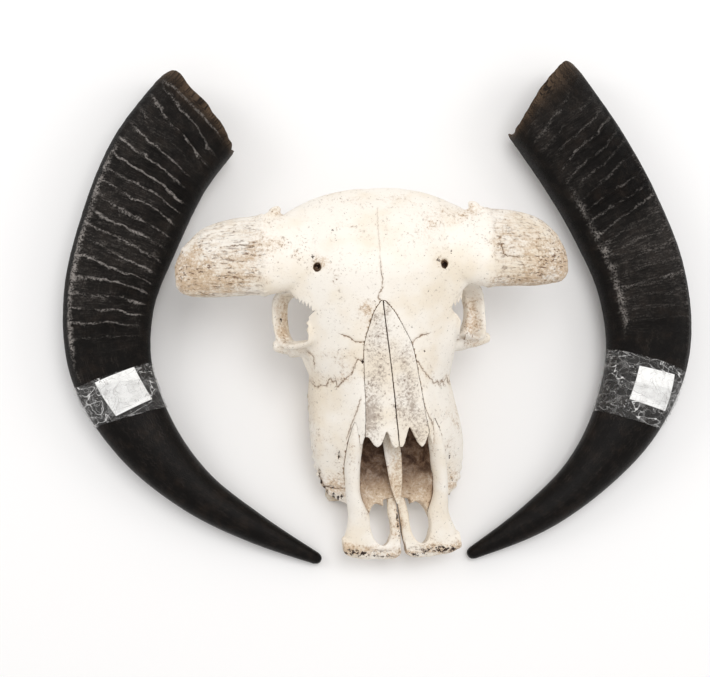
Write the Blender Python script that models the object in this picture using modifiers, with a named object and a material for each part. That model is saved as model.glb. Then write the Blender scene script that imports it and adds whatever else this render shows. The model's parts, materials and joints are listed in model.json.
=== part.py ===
"""Water buffalo skull with its two loose horn sheaths, lying flat as one set.

The cranium rests on its cheek teeth and on the two prongs beside the neck joint. The sheaths have come off
their bony cores and lie to the left and right with their tips towards the muzzle, each with a paper label
held on by a wrap of clear tape. +Z is up, the muzzle points to -Y and the flat surface is z = 0.

The skull is described in its own frame: x across, y along (+ to the neck), z up, all in millimetres.
"""

import math

import bmesh
import bpy
from mathutils import Vector

MM = 0.001

# Where the skull lies on the surface, and how much its face bends to one side of its braincase.
SKULL_PLACE = (-20.5, -45.0)
SKULL_YAW = math.radians(3.2)
MUZZLE_BEND = 0.118
BEND_START = 20.0
BEND_SOFTNESS = 12.0
FACE_LEAN = 0.07
LEAN_LEVEL = 130.0

# Main sizes of the skull.
FACE_ROOF_ARCH = 0.0035
NASAL_THICKNESS = 6.0
NASAL_PROUD = 1.0
ORBIT_CENTRE = {-1: (106.0, 11.0, 127.0), 1: (117.0, 13.0, 127.0)}
ORBIT_HALF_LENGTH = 36.0
ORBIT_HALF_WIDTH = 31.0
ORBIT_DEPTH = 22.0
ORBIT_WALL = 5.0
ORBIT_SQUARENESS = 3.4
ORBIT_FACING = (0.75, -0.04, 0.65)
FISSURE_CENTRE = (24.5, -236.5)
FISSURE_HALF = (13.0, 26.0)
NOSE_FLOOR = 52.0
SOCKET_DEPTH = 6.0
GUM_HEIGHT = 30.0
BONE_CLEARANCE = 1.1
TOOTH_CLEARANCE = 0.56

# Main sizes of the horn sheaths.
SHEATH_WALL = 7.0
RIM_WALL = 3.0
HOLLOW_SHARE = 0.42
MIDDLE_LIFT = 5.0
RIDGE_COUNT = 11
RIDGE_HEIGHT = 2.4
RIDGED_SHARE = 0.47

# The midline of the forehead and nose, from the neck to the nose tips: (y, z).
ROOF_LINE = ((159, 158), (142, 175), (105, 192), (60, 198), (20, 185), (-25, 166), (-65, 151), (-127, 130),
             (-170, 112))

# Half cross-sections of the head, from the top centre round to the bottom centre: y, then (x, z) points.
HEAD_SECTIONS = (
    (159, ((0, 158), (22, 156), (36, 149), (40, 136), (36, 118), (28, 104), (14, 96), (0, 95))),
    (152, ((0, 167), (38, 164), (62, 154), (69, 138), (60, 110), (42, 88), (20, 78), (0, 76))),
    (142, ((0, 175), (43, 172), (77, 161), (92, 143), (78, 108), (58, 72), (30, 52), (0, 48))),
    (128, ((0, 184), (45, 181), (87, 169), (112, 149), (84, 114), (60, 68), (32, 46), (0, 42))),
    (105, ((0, 192), (46, 190), (90, 175), (118, 151), (80, 120), (60, 72), (34, 44), (0, 40))),
    (60, ((0, 198), (46, 195), (90, 177), (122, 151), (76, 124), (56, 76), (34, 47), (0, 44))),
    (20, ((0, 185), (40, 181), (72, 167), (92, 149), (62, 120), (46, 80), (34, 54), (0, 50))),
    (-25, ((0, 166), (34, 162), (64, 146), (90, 122), (84, 94), (72, 56), (48, 42), (0, 52))),
    (-65, ((0, 151), (32, 147), (54, 131), (76, 104), (85, 80), (82, 42), (57, 33), (0, 46))),
    (-127, ((0, 130), (36, 126), (52, 113), (75, 94), (92, 72), (88, 38), (58, 30), (0, 44))),
    (-170, ((0, 92), (36, 90), (48, 84), (68, 68), (88, 52), (87, 30), (57, 27), (0, 42))),
    (-197, ((0, 60), (36, 59), (48, 57), (62, 52), (77, 43), (75, 30), (50, 27), (0, 42))),
    (-216, ((0, 54), (26, 54), (36, 53), (44, 50), (50, 42), (46, 34), (40, 32), (0, 42))),
    (-234, ((0, 50), (20, 50), (28, 50), (36, 48), (41, 43), (38, 38), (30, 37), (0, 40))),
)

# The bony core of a horn, from inside the forehead to its blunt end: centre x, y, z, half length, half height.
CORE_SECTIONS = (
    (70, 88, 156, 42, 26), (105, 85, 154, 45, 28), (128, 84, 151, 47, 29), (134, 84, 150, 49, 31),
    (141, 84, 149, 47, 29), (165, 83, 147, 46, 29), (190, 80, 145, 43, 27), (208, 76, 142, 37, 23),
    (224, 69, 140, 27, 16), (233, 64, 139, 12, 8),
)
CORE_REACH = {-1: 1.045, 1: 0.995}

# The cheek bone's bar from the eye socket back to the braincase: x, y, z, half width, half height.
CHEEK_BAR = (
    (100, -30, 90, 9, 14), (116, 10, 92, 5, 11), (113, 45, 88, 5, 10), (106, 80, 84, 5, 9), (92, 110, 82, 7, 10),
    (66, 124, 82, 10, 12),
)

# The crest along the cheek, from under the eye socket to the bump over the front teeth.
FACE_CREST = ((88, -20, 93, 9, 8), (84, -38, 90, 8, 9), (77, -62, 84, 8, 9), (75, -86, 77, 8, 8),
              (80, -112, 71, 9, 9), (84, -138, 62, 6, 8))

# The corner of the cheek bone under the front of the eye socket, from the face out to its free end.
CHEEK_CORNER = ((70, -22, 104, 11, 13), (96, -21, 99, 9, 11), (113, -19, 97, 8, 9), (124, -17, 98, 6, 7))

# The prong beside the neck joint, which reaches the surface.
NECK_PRONG = ((60, 128, 84, 14, 12), (60, 131, 60, 12, 11), (57, 130, 34, 9, 9), (55, 127, 12, 7, 8),
              (55, 126, 0.4, 4, 5))

# The plate that walls the back of the nose passage.
PASSAGE_PLATE = ((24, 40, 46, 4, 12), (24, 10, 38, 3.5, 16), (25, -20, 36, 3.5, 12), (28, -40, 40, 4, 8))

# The hollow of the nose, open to the front and top: y, half width, floor, ceiling.
NOSE_HOLLOW = ((-232, 44, 56, 150), (-200, 45, 53, 160), (-170, 46, NOSE_FLOOR, 170), (-148, 44, NOSE_FLOOR, 175),
               (-122, 34, 54, 180), (-90, 27, 56, 185), (-40, 22, 62, 190), (0, 14, 72, 190), (14, 6, 100, 190))

# The passage from the nose down to the throat, behind the palate: y, half width, floor, ceiling.
THROAT_HOLLOW = ((30, 15, 10, 50), (0, 18, 18, 62), (-20, 18, 34, 76), (-45, 14, 58, 84))

# The side edge of a nasal bone: (y, x). Its front edge is cut to two points.
NASAL_EDGE = ((19, 2), (8, 11), (-8, 19), (-30, 28), (-60, 31.5), (-100, 35), (-130, 38), (-152, 38.5))
NASAL_FRONT = ((-2, -138), (0, -145), (5, -149), (9, -145), (15, -128), (18, -135), (25, -147), (30, -142),
               (37, -132), (42, -129), (42, -175), (-2, -175))

# The bone in front of the cheek: its side bar up to the nose, and its inner bar along the midline.
SNOUT_SIDE_BAR = ((42, -97, 129, 2, 3), (43.5, -114, 121.5, 4, 4.5), (47, -131, 110, 8, 8), (50.5, -150, 96, 9.5, 11),
                  (53, -168, 81, 9.5, 13), (54, -200, 62, 9, 13), (49, -226, 49, 13.5, 12), (50, -246, 42, 19, 11),
                  (50, -262, 38, 24, 10))
SNOUT_INNER_BAR = ((4, -190, 48.5, 2.8, 3), (5.6, -205, 48, 5.3, 4.5), (6.9, -230, 46, 6.7, 7), (8.2, -250, 42, 8, 8),
                   (14, -264, 38, 12, 9))
SNOUT_FRONT = ((3, -262, 38, 12, 8), (12, -264, 38, 15, 9), (38, -261, 37, 18, 10), (60, -260, 38, 16, 10),
               (73, -260, 39, 10, 7))

# The ploughshare bone in the middle of the nose: y, half width, top, bottom.
VOMER_SECTIONS = ((-70, 6, 84, 62), (-110, 9, 84, 58), (-146, 10.5, 81, 55), (-170, 9.5, 75, 54),
                  (-190, 7.5, 68, 54.5), (-204, 4.5, 63, 55), (-213, 1.8, 60, 56))

# Upper cheek teeth from front to back: name, length, cusps. The row runs from TOOTH_START to TOOTH_END.
TEETH = (("premolar_2", 16, 1), ("premolar_3", 19, 1), ("premolar_4", 20, 1), ("molar_1", 25, 2), ("molar_2", 29, 2),
         ("molar_3", 31, 2))
TOOTH_START = (70.0, -205.0)
TOOTH_END = (68.0, -62.0)
TOOTH_ROW_BOW = 5.0
TOOTH_HALF_WIDTH = (6.5, 10.5)
TOOTH_SPACING = 0.7

# Horn sheaths, base to tip, evenly spaced along the middle line: x, y, width. Thickness is a share of width.
LEFT_SHEATH = ((-239, 235, 131), (-286, 167, 131), (-320, 84, 125), (-344, -3, 112), (-340, -91, 100),
               (-300, -172, 80), (-239, -237, 56), (-163, -285, 37), (-78, -326, 13))
RIGHT_SHEATH = ((207.9, 266.6, 124), (256.9, 194.7, 125), (300.7, 116, 122), (333.5, 30.7, 117), (340, -59, 108),
                (312, -144, 88), (259, -218, 60), (189, -275, 40), (108, -320, 14))
RIM_SLANT = {"left": 17.0, "right": 18.0}

# The flake that stands out of each rim: its middle and spread in degrees round the horn, and how far it reaches.
RIM_FLAKE = {"left": (58.0, 20.0, 11.0), "right": (62.0, 28.0, 14.0)}
THICKNESS_SHARE = (0.62, 0.60, 0.58, 0.58, 0.60, 0.66, 0.76, 0.86, 0.95)

# Labels and tape on each sheath: share of the length where each starts and ends, and the label's angles.
LABEL_PLACE = {"left": (0.520, 0.584, 58.0, 122.0), "right": (0.545, 0.608, 44.0, 102.0)}
TAPE_PLACE = {"left": (0.510, 0.600), "right": (0.515, 0.625)}
LABEL_LAYER = (0.35, 0.75)
TAPE_LAYER = (1.9, 2.35)

BONE_COLOUR = (0.86, 0.80, 0.70, 1.0)


def clear_scene():
    for obj in list(bpy.data.objects):
        bpy.data.objects.remove(obj, do_unlink=True)


def new_collection(name, helper=False):
    made = bpy.data.collections.new(name)
    bpy.context.scene.collection.children.link(made)
    made.hide_render = helper
    return made


def material(name, colour, roughness, alpha=1.0):
    made = bpy.data.materials.new(name)
    made.use_nodes = True
    shader = made.node_tree.nodes["Principled BSDF"]
    shader.inputs["Base Color"].default_value = colour
    shader.inputs["Roughness"].default_value = roughness
    shader.inputs["Alpha"].default_value = alpha
    return made


def bend(x, y, z):
    """A point of the skull, in metres, with the muzzle's sideways bend and the lean of its tooth rows."""
    ahead = max(0.0, BEND_START - y)
    shift = MUZZLE_BEND * ahead * ahead / (ahead + BEND_SOFTNESS)
    lean = FACE_LEAN * (z - LEAN_LEVEL) * min(1.0, ahead / 90.0)
    return Vector((x + shift + lean, y, z)) * MM


def between(points, t):
    """The Catmull-Rom curve through points, at t from 0 to 1, evenly spaced by point."""
    last = len(points) - 1
    place = min(max(t, 0.0), 1.0) * last
    i = min(int(place), last - 1)
    f = place - i
    p0, p1, p2, p3 = (Vector(points[min(max(k, 0), last)]) for k in (i - 1, i, i + 1, i + 2))
    return 0.5 * (2 * p1 + (p2 - p0) * f + (2 * p0 - 5 * p1 + 4 * p2 - p3) * f**2
                  + (3 * p1 - p0 - 3 * p2 + p3) * f**3)


def smoothed(points, steps):
    """The points with steps - 1 more between each pair, on a smooth curve."""
    count = (len(points) - 1) * steps
    return [between(points, i / count) for i in range(count + 1)]


def height_at(line, y):
    """The straight reading of a (y, value) line that runs from high y to low y."""
    for (y0, v0), (y1, v1) in zip(line, line[1:]):
        if y >= y1 or (y1, v1) == line[-1]:
            return v0 + (v1 - v0) * (y - y0) / (y1 - y0)
    return line[-1][1]


def loft(name, rings, home, parent=None):
    """A closed skin over rings of points in metres, with a flat cap at each end."""
    mesh = bpy.data.meshes.new(name)
    bm = bmesh.new()
    rows = [[bm.verts.new(point) for point in ring] for ring in rings]
    for first, second in zip(rows, rows[1:]):
        for i in range(len(first)):
            j = (i + 1) % len(first)
            bm.faces.new((first[i], first[j], second[j], second[i]))
    bm.faces.new(reversed(rows[0]))
    bm.faces.new(rows[-1])
    bmesh.ops.recalc_face_normals(bm, faces=bm.faces)
    if bm.calc_volume(signed=True) < 0:
        bmesh.ops.reverse_faces(bm, faces=bm.faces)
    bm.to_mesh(mesh)
    bm.free()
    return add_object(name, mesh, home, parent)


def add_object(name, mesh, home, parent=None):
    obj = bpy.data.objects.new(name, mesh)
    home.objects.link(obj)
    obj.parent = parent
    if home.hide_render:
        obj.hide_render = True
        obj.display_type = "WIRE"
    return obj


def limb(name, sections, side, home, parent, sides=12, steps=3, flat=2.0):
    """A tapering bar of rounded section along its own path: x, y, z, half width and half height at each place."""
    rings = []
    path = smoothed(sections, steps)
    for i, section in enumerate(path):
        ahead = path[min(i + 1, len(path) - 1)]
        behind = path[max(i - 1, 0)]
        run = Vector(ahead[:3]) - Vector(behind[:3])
        along_x = abs(run.x) > max(abs(run.y), abs(run.z))
        upright = abs(run.z) > max(abs(run.x), abs(run.y))
        x, y, z, half_width, half_height = section
        ring = []
        for k in range(sides):
            angle = 2 * math.pi * k / sides
            across = half_width * superellipse(math.cos(angle), flat)
            other = half_height * superellipse(math.sin(angle), flat)
            if along_x:
                point = (x, y + across, z + other)
            elif upright:
                point = (x + across, y + other, z)
            else:
                point = (x + across, y, z + other)
            ring.append(bend(side * point[0], point[1], point[2]))
        rings.append(ring)
    return loft(name, rings, home, parent)


def superellipse(value, power):
    return math.copysign(abs(value) ** (2 / power), value)


def tunnel(name, sections, home, parent, steps=3, sides=16):
    """A rounded hollow along the midline: y, half width, floor, ceiling at each place."""
    rings = []
    for y, half_width, floor, ceiling in smoothed(sections, steps):
        middle = (floor + ceiling) / 2
        half_height = (ceiling - floor) / 2
        ring = []
        for k in range(sides):
            angle = 2 * math.pi * k / sides
            ring.append(bend(half_width * superellipse(math.cos(angle), 4),
                             y, middle + half_height * superellipse(math.sin(angle), 4)))
        rings.append(ring)
    return loft(name, rings, home, parent)


def lump(name, centre, radii, home, parent):
    """An egg-shaped boss or pit."""
    mesh = bpy.data.meshes.new(name)
    bm = bmesh.new()
    bmesh.ops.create_uvsphere(bm, u_segments=16, v_segments=10, radius=1.0)
    for vertex in bm.verts:
        x, y, z = (c + r * v for c, r, v in zip(centre, radii, vertex.co))
        vertex.co = bend(x, y, z)
    bm.to_mesh(mesh)
    bm.free()
    return add_object(name, mesh, home, parent)


def prism(name, outline, low, high, home, parent, side=1):
    """An upright block over a flat outline in the skull's frame."""
    rings = [[bend(side * x, y, z) for x, y in outline] for z in (low, high)]
    return loft(name, rings, home, parent)


def boolean(obj, operation, collection):
    modifier = obj.modifiers.new(operation.title(), "BOOLEAN")
    modifier.operation = operation
    modifier.solver = "EXACT"
    modifier.operand_type = "COLLECTION"
    modifier.collection = collection


def soften(obj, voxel, face_share, smooth_steps):
    """Blends the joined forms into one grown surface, then keeps a share of its faces."""
    remesh = obj.modifiers.new("Grow together", "REMESH")
    remesh.mode = "VOXEL"
    remesh.voxel_size = voxel * MM
    smooth = obj.modifiers.new("Soften", "SMOOTH")
    smooth.factor = 0.5
    smooth.iterations = smooth_steps
    thin = obj.modifiers.new("Fewer faces", "DECIMATE")
    thin.ratio = face_share


def keep_main_body(obj):
    """Turns the modifiers into real faces and drops any crumb that a cut has left loose."""
    bpy.context.view_layer.update()
    graph = bpy.context.evaluated_depsgraph_get()
    mesh = bpy.data.meshes.new_from_object(obj.evaluated_get(graph))
    bm = bmesh.new()
    bm.from_mesh(mesh)
    bmesh.ops.triangulate(bm, faces=bm.faces)
    left = set(bm.faces)
    bodies = []
    while left:
        body, front = set(), {left.pop()}
        while front:
            body |= front
            front = {other for face in front for edge in face.edges for other in edge.link_faces if other in left}
            left -= front
        bodies.append(body)
    main_body = max(bodies, key=len)
    bmesh.ops.delete(bm, geom=[face for face in bm.faces if face not in main_body], context="FACES")
    bm.to_mesh(mesh)
    bm.free()
    obj.modifiers.clear()
    obj.data = mesh


def grown_copy(obj, amount, home):
    """A copy that stands off the original by amount on every side, to cut its place in a neighbour."""
    bpy.context.view_layer.update()
    graph = bpy.context.evaluated_depsgraph_get()
    mesh = bpy.data.meshes.new_from_object(obj.evaluated_get(graph))
    copy = add_object(obj.name + "_clearance", mesh, home, obj.parent)
    copy.matrix_local = obj.matrix_local
    displace = copy.modifiers.new("Stand off", "DISPLACE")
    displace.mid_level = 0.0
    displace.strength = amount * MM
    return copy


def orbit_ring(side, home, parent):
    """The short flared tube of bone round an eye. It faces outwards, a little forwards and up."""
    axis = Vector(ORBIT_FACING).normalized()
    along = Vector((0, 1, 0)) - axis * axis.y
    along.normalize()
    across = axis.cross(along)
    centre = Vector(ORBIT_CENTRE[side])
    sides = 28
    profile = ((0, 0), (-ORBIT_DEPTH, -2), (-ORBIT_DEPTH, ORBIT_WALL - 2), (-4, ORBIT_WALL), (0, ORBIT_WALL - 1.5))
    rings = []
    for k in range(sides):
        angle = 2 * math.pi * k / sides
        ring = []
        for depth, out in profile:
            reach_along = ORBIT_HALF_LENGTH - ORBIT_WALL + out
            reach_across = ORBIT_HALF_WIDTH - ORBIT_WALL + out
            point = (centre + axis * depth + along * reach_along * superellipse(math.cos(angle), ORBIT_SQUARENESS)
                     + across * reach_across * superellipse(math.sin(angle), ORBIT_SQUARENESS))
            ring.append(bend(side * point.x, point.y, point.z))
        rings.append(ring)
    return closed_band("eye_rim", rings, home, parent)


def closed_band(name, rings, home, parent=None):
    """A skin over rings that come back to the first one, like a bangle."""
    mesh = bpy.data.meshes.new(name)
    bm = bmesh.new()
    rows = [[bm.verts.new(point) for point in ring] for ring in rings]
    for first, second in zip(rows, rows[1:] + rows[:1]):
        for i in range(len(first)):
            j = (i + 1) % len(first)
            bm.faces.new((first[i], first[j], second[j], second[i]))
    bmesh.ops.recalc_face_normals(bm, faces=bm.faces)
    if bm.calc_volume(signed=True) < 0:
        bmesh.ops.reverse_faces(bm, faces=bm.faces)
    bm.to_mesh(mesh)
    bm.free()
    return add_object(name, mesh, home, parent)


def head_rings(steps_along=3, steps_round=2):
    """Smooth rings of the head through its half cross-sections, mirrored across the midline."""
    halves = [[(x, y, z) for x, z in points] for y, points in HEAD_SECTIONS]
    count = len(halves[0])
    lines = [smoothed([half[i] for half in halves], steps_along) for i in range(count)]
    rings = []
    for place in range(len(lines[0])):
        half = smoothed([line[place] for line in lines], steps_round)
        right = [bend(*point) for point in half]
        left = [bend(-point.x, point.y, point.z) for point in half[-2:0:-1]]
        rings.append(right + left)
    return rings


def cheek_corner(side):
    """The corner of the cheek bone, reaching as far out as the eye socket above it."""
    reach = (ORBIT_CENTRE[side][0] + 21.0) / CHEEK_CORNER[-1][0]
    return [(x * reach, *rest) for x, *rest in CHEEK_CORNER]


def build_cranium(home, helpers, parent):
    """Braincase, horn cores, eye sockets, cheeks and palate: one grown piece."""
    forms = new_collection("cranium forms", helper=True)
    hollows = new_collection("cranium hollows", helper=True)
    cranium = loft("cranium", head_rings(), home, parent)
    for side in (-1, 1):
        core = [(x if x < 130 else 130 + (x - 130) * CORE_REACH[side], *rest) for x, *rest in CORE_SECTIONS]
        limb("horn_core", core, side, forms, parent, sides=20, flat=2.3)
        limb("cheek_corner", cheek_corner(side), side, forms, parent)
        limb("cheek_bar", CHEEK_BAR, side, forms, parent)
        limb("face_crest", FACE_CREST, side, forms, parent)
        limb("neck_prong", NECK_PRONG, side, forms, parent)
        limb("passage_plate", PASSAGE_PLATE, side, forms, parent)
        orbit_ring(side, forms, parent)
        lump("neck_joint", (side * 29, 146, 50), (19, 17, 23), forms, parent)
        lump("ear_capsule", (side * 46, 98, 38), (13, 20, 18), forms, parent)
        palate_gap(side, hollows, parent)
        prism("front_notch", ((-1, -206), (17, -206), (17, -245), (-1, -245)), 0, 90, hollows, parent, side)
        lump("brow_hole", (side * 73, 60, 192), (5, 6, 16), hollows, parent)
        lump("cheek_hole", (side * 72, -150, 78), (4, 9, 18), hollows, parent)
    tunnel("nose_hollow", NOSE_HOLLOW, hollows, parent)
    tunnel("throat_hollow", THROAT_HOLLOW, hollows, parent)
    lump("neck_hole", (0, 150, 68), (18, 60, 17), hollows, parent)
    boolean(cranium, "UNION", forms)
    boolean(cranium, "DIFFERENCE", hollows)
    soften(cranium, voxel=3.0, face_share=0.0195, smooth_steps=3)
    boolean(cranium, "DIFFERENCE", helpers)
    keep_main_body(cranium)
    return cranium


def build_nasal(side, home, parent):
    """One of the two long roof bones of the nose, arched, with two points in front."""
    name = "nasal_left" if side < 0 else "nasal_right"
    cut = new_collection(name + " cut", helper=True)
    rings = []
    for y, edge in smoothed(NASAL_EDGE, 2):
        ridge = height_at(ROOF_LINE, y) + NASAL_PROUD
        top = [(x, ridge - FACE_ROOF_ARCH * x * x) for x in (0.5, 0.5 + (edge - 0.5) / 2, edge)]
        bottom = [(x, z - NASAL_THICKNESS) for x, z in reversed(top)]
        rings.append([bend(side * x, y, z) for x, z in top + bottom])
    nasal = loft(name, rings, home, parent)
    prism(name + "_front", NASAL_FRONT, 90, 160, cut, parent, side)
    boolean(nasal, "DIFFERENCE", cut)
    return nasal


def palate_gap(side, home, parent):
    """The oval gap beside the midline, between the bones in front and the palate behind."""
    outline = []
    for k in range(24):
        angle = 2 * math.pi * k / 24
        outline.append((FISSURE_CENTRE[0] + FISSURE_HALF[0] * math.cos(angle),
                        FISSURE_CENTRE[1] + FISSURE_HALF[1] * math.sin(angle)))
    return prism("palate_gap", outline, 0, 90, home, parent, side)


def build_snout_bone(side, home, parent):
    """The bone in front of the cheek: a side bar, an inner bar and a broad front end round an oval gap."""
    name = "premaxilla_left" if side < 0 else "premaxilla_right"
    forms = new_collection(name + " forms", helper=True)
    gaps = new_collection(name + " gap", helper=True)
    bone = limb(name, SNOUT_SIDE_BAR, side, home, parent, sides=12, steps=3)
    palate_gap(side, gaps, parent)
    limb(name + "_inner_bar", SNOUT_INNER_BAR, side, forms, parent)
    limb(name + "_front", SNOUT_FRONT, side, forms, parent, flat=2.4)
    boolean(bone, "UNION", forms)
    boolean(bone, "DIFFERENCE", gaps)
    soften(bone, voxel=2.0, face_share=0.0305, smooth_steps=2)
    return bone


def build_vomer(home, parent):
    """The keel in the middle of the nose, with a shallow trough along its top."""
    rings = []
    for y, half_width, top, bottom in smoothed(VOMER_SECTIONS, 2):
        lip = half_width * 0.7
        groove = min(4.0, half_width * 0.6)
        profile = ((0, top - groove), (lip, top), (half_width, top - 1.5), (half_width * 0.4, bottom),
                   (-half_width * 0.4, bottom), (-half_width, top - 1.5), (-lip, top))
        rings.append([bend(x, y, z) for x, z in profile])
    return loft("vomer", rings, home, parent)


def build_tooth(name, side, start, end, share, cusps, home, parent):
    """One cheek tooth: a ribbed column whose worn cusps stand flat on the surface."""
    half_width = TOOTH_HALF_WIDTH[0] + (TOOTH_HALF_WIDTH[1] - TOOTH_HALF_WIDTH[0]) * min(1.0, share * 1.6)
    steps = 4 * cusps
    rings = []
    for i in range(steps + 1):
        middle = start.lerp(end, i / steps)
        on_cusp = i % 4 == 2
        in_valley = i % 4 == 0
        rib = 1.2 if on_cusp else (-0.8 if in_valley else 0.0)
        tip = 5.0 if in_valley else 0.0
        inner_tip = 6.0 if in_valley else 3.2
        top = GUM_HEIGHT + SOCKET_DEPTH - (14.0 if share < 0.1 and i == 0 else 2.0)
        profile = ((half_width + rib, tip), (half_width * 0.3, tip), (-half_width * 0.2, inner_tip + 1.6),
                   (-half_width - rib * 0.6, inner_tip),
                   (-half_width * 0.8, top), (half_width * 0.7, top))
        rings.append([bend(side * (middle.x + x), middle.y, z) for x, z in profile])
    return loft(name, rings, home, parent)


def tooth_row_point(share):
    """The middle of the tooth row, from its front to its back, bowed a little outwards."""
    start, end = Vector(TOOTH_START), Vector(TOOTH_END)
    point = start.lerp(end, share)
    point.x += TOOTH_ROW_BOW * math.sin(math.pi * share)
    return point


def build_teeth(side, home, parent):
    hand = "left" if side < 0 else "right"
    total = sum(length for _, length, _ in TEETH)
    run = 0.0
    made = []
    for name, length, cusps in TEETH:
        first, last = run / total, (run + length) / total
        trim = TOOTH_SPACING / 2 / total
        start, end = tooth_row_point(first + trim), tooth_row_point(last - trim)
        made.append(build_tooth(f"{name}_{hand}", side, start, end, (first + last) / 2, cusps, home, parent))
        run += length
    return made


class Sheath:
    """The shape of one horn sheath: a tapering horn that curves in the plane of the surface."""

    def __init__(self, stations, outer_side, slant, flake):
        self.slant = slant
        self.flake = flake
        self.stations = [(x, y, width, share) for (x, y, width), share in zip(stations, THICKNESS_SHARE)]
        self.outer_side = outer_side

    def place(self, s):
        x, y, width, share = between(self.stations, s)
        half_height = width * share / 2
        lift = MIDDLE_LIFT * math.sin(math.pi * min(max(s, 0.0), 1.0))
        return Vector((x, y, half_height + lift)), width / 2, half_height

    def point(self, s, angle, grow=0.0, slide=0.0):
        """A point on the skin: angle 0 is the outer curve, 90 degrees the top."""
        centre, half_width, half_height = self.place(s)
        step = 0.01
        run = self.place(min(s + step, 1.0))[0] - self.place(max(s - step, 0.0))[0]
        run.z = 0.0
        run.normalize()
        outward = Vector((-run.y, run.x, 0.0)) * self.outer_side
        power = 2.0 + 0.7 * max(0.0, 1.0 - s * 1.4)
        across = superellipse(math.cos(angle), power)
        upward = superellipse(math.sin(angle), power)
        return (centre + outward * (half_width + grow) * across + Vector((0, 0, half_height + grow)) * upward
                + run * slide)

    def ridge(self, s, angle):
        """How far the wrinkled top stands out here."""
        if s > RIDGED_SHARE or s < 0.02:
            return 0.0
        fade = math.sin(math.pi * min(1.0, s / RIDGED_SHARE)) ** 0.5
        facing = max(0.0, math.sin(angle)) ** 0.7
        return RIDGE_HEIGHT * fade * facing * math.cos(2 * math.pi * RIDGE_COUNT * s / RIDGED_SHARE)


def rim_tear(angle, sheath):
    """The slanting, ragged base edge: how far it falls short at this angle, apart from the flake that stands out."""
    middle, spread, reach = sheath.flake
    away = (math.degrees(angle) - middle) / spread
    ragged = 5.0 * math.sin(3 * angle + 0.6) + 3.0 * math.sin(7 * angle)
    return ragged - sheath.slant * math.cos(angle) - reach * math.exp(-away * away)


def build_sheath(name, sheath, home):
    """A hollow sheath: outer skin, thin ragged rim, and a socket that narrows to a rounded end."""
    sides = 16
    angles = [2 * math.pi * k / sides for k in range(sides)]
    ridged = [RIDGED_SHARE * i / (2 * RIDGE_COUNT) for i in range(2 * RIDGE_COUNT + 1)]
    plain = [RIDGED_SHARE + (0.985 - RIDGED_SHARE) * i / 10 for i in range(1, 11)]
    rings = [[sheath.point(1.0, a, grow=-5.0) for a in angles]]
    for s in reversed(ridged + plain):
        near_rim = max(0.0, 1.0 - s / 0.06)
        rings.append([sheath.point(s, a, sheath.ridge(s, a), near_rim * rim_tear(a, sheath)) for a in angles])
    rings.append([sheath.point(0.0, a, -RIM_WALL, rim_tear(a, sheath)) for a in angles])
    deep_steps = 6
    for i in range(1, deep_steps + 1):
        s = HOLLOW_SHARE * i / deep_steps
        close = 1.0 - math.sqrt(max(0.0, 1.0 - (i / deep_steps) ** 3))
        _, half_width, half_height = sheath.place(s)
        wall = SHEATH_WALL + 1.5 * i
        shrink = wall + close * (half_height - wall - 4.0)
        rings.append([sheath.point(s, a, -shrink) for a in angles])
    return loft(name, [[point * MM for point in ring] for ring in rings], home)


def build_tape(name, sheath, first, last, home):
    """A wrap of clear tape that stands clear of the label under it."""
    sides = 28
    rings = []
    spans = 2
    for k in range(sides):
        angle = 2 * math.pi * k / sides
        low = [sheath.point(first + (last - first) * i / spans, angle, TAPE_LAYER[0]) for i in range(spans + 1)]
        high = [sheath.point(first + (last - first) * i / spans, angle, TAPE_LAYER[1]) for i in range(spans + 1)]
        rings.append([point * MM for point in low + high[::-1]])
    return closed_band(name, rings, home)


def build_label(name, sheath, place, home):
    """A square of paper that lies on the top of the horn."""
    first, last, low_angle, high_angle = place
    columns, spans = 6, 4
    rings = []
    for k in range(columns + 1):
        angle = math.radians(low_angle + (high_angle - low_angle) * k / columns)
        low = [sheath.point(first + (last - first) * i / spans, angle, LABEL_LAYER[0]) for i in range(spans + 1)]
        high = [sheath.point(first + (last - first) * i / spans, angle, LABEL_LAYER[1]) for i in range(spans + 1)]
        rings.append([point * MM for point in low + high[::-1]])
    return loft(name, rings, home)


def centre_on_origin(home, roots):
    """Moves everything so that the middle of its plan is the origin and its lowest point is at z = 0."""
    bpy.context.view_layer.update()
    graph = bpy.context.evaluated_depsgraph_get()
    low, high = Vector((9, 9, 9)), Vector((-9, -9, -9))
    for obj in home.objects:
        if obj.type != "MESH":
            continue
        shown = obj.evaluated_get(graph)
        for vertex in shown.data.vertices:
            place = shown.matrix_world @ vertex.co
            low = Vector(map(min, low, place))
            high = Vector(map(max, high, place))
    shift = Vector((-(low.x + high.x) / 2, -(low.y + high.y) / 2, -low.z))
    for root in roots:
        root.location += shift


def finish(obj, finish_material, sharp_degrees=40.0):
    obj.data.materials.clear()
    obj.data.materials.append(finish_material)
    obj.data.shade_smooth()
    obj.data.set_sharp_from_angle(angle=math.radians(sharp_degrees))


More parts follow.
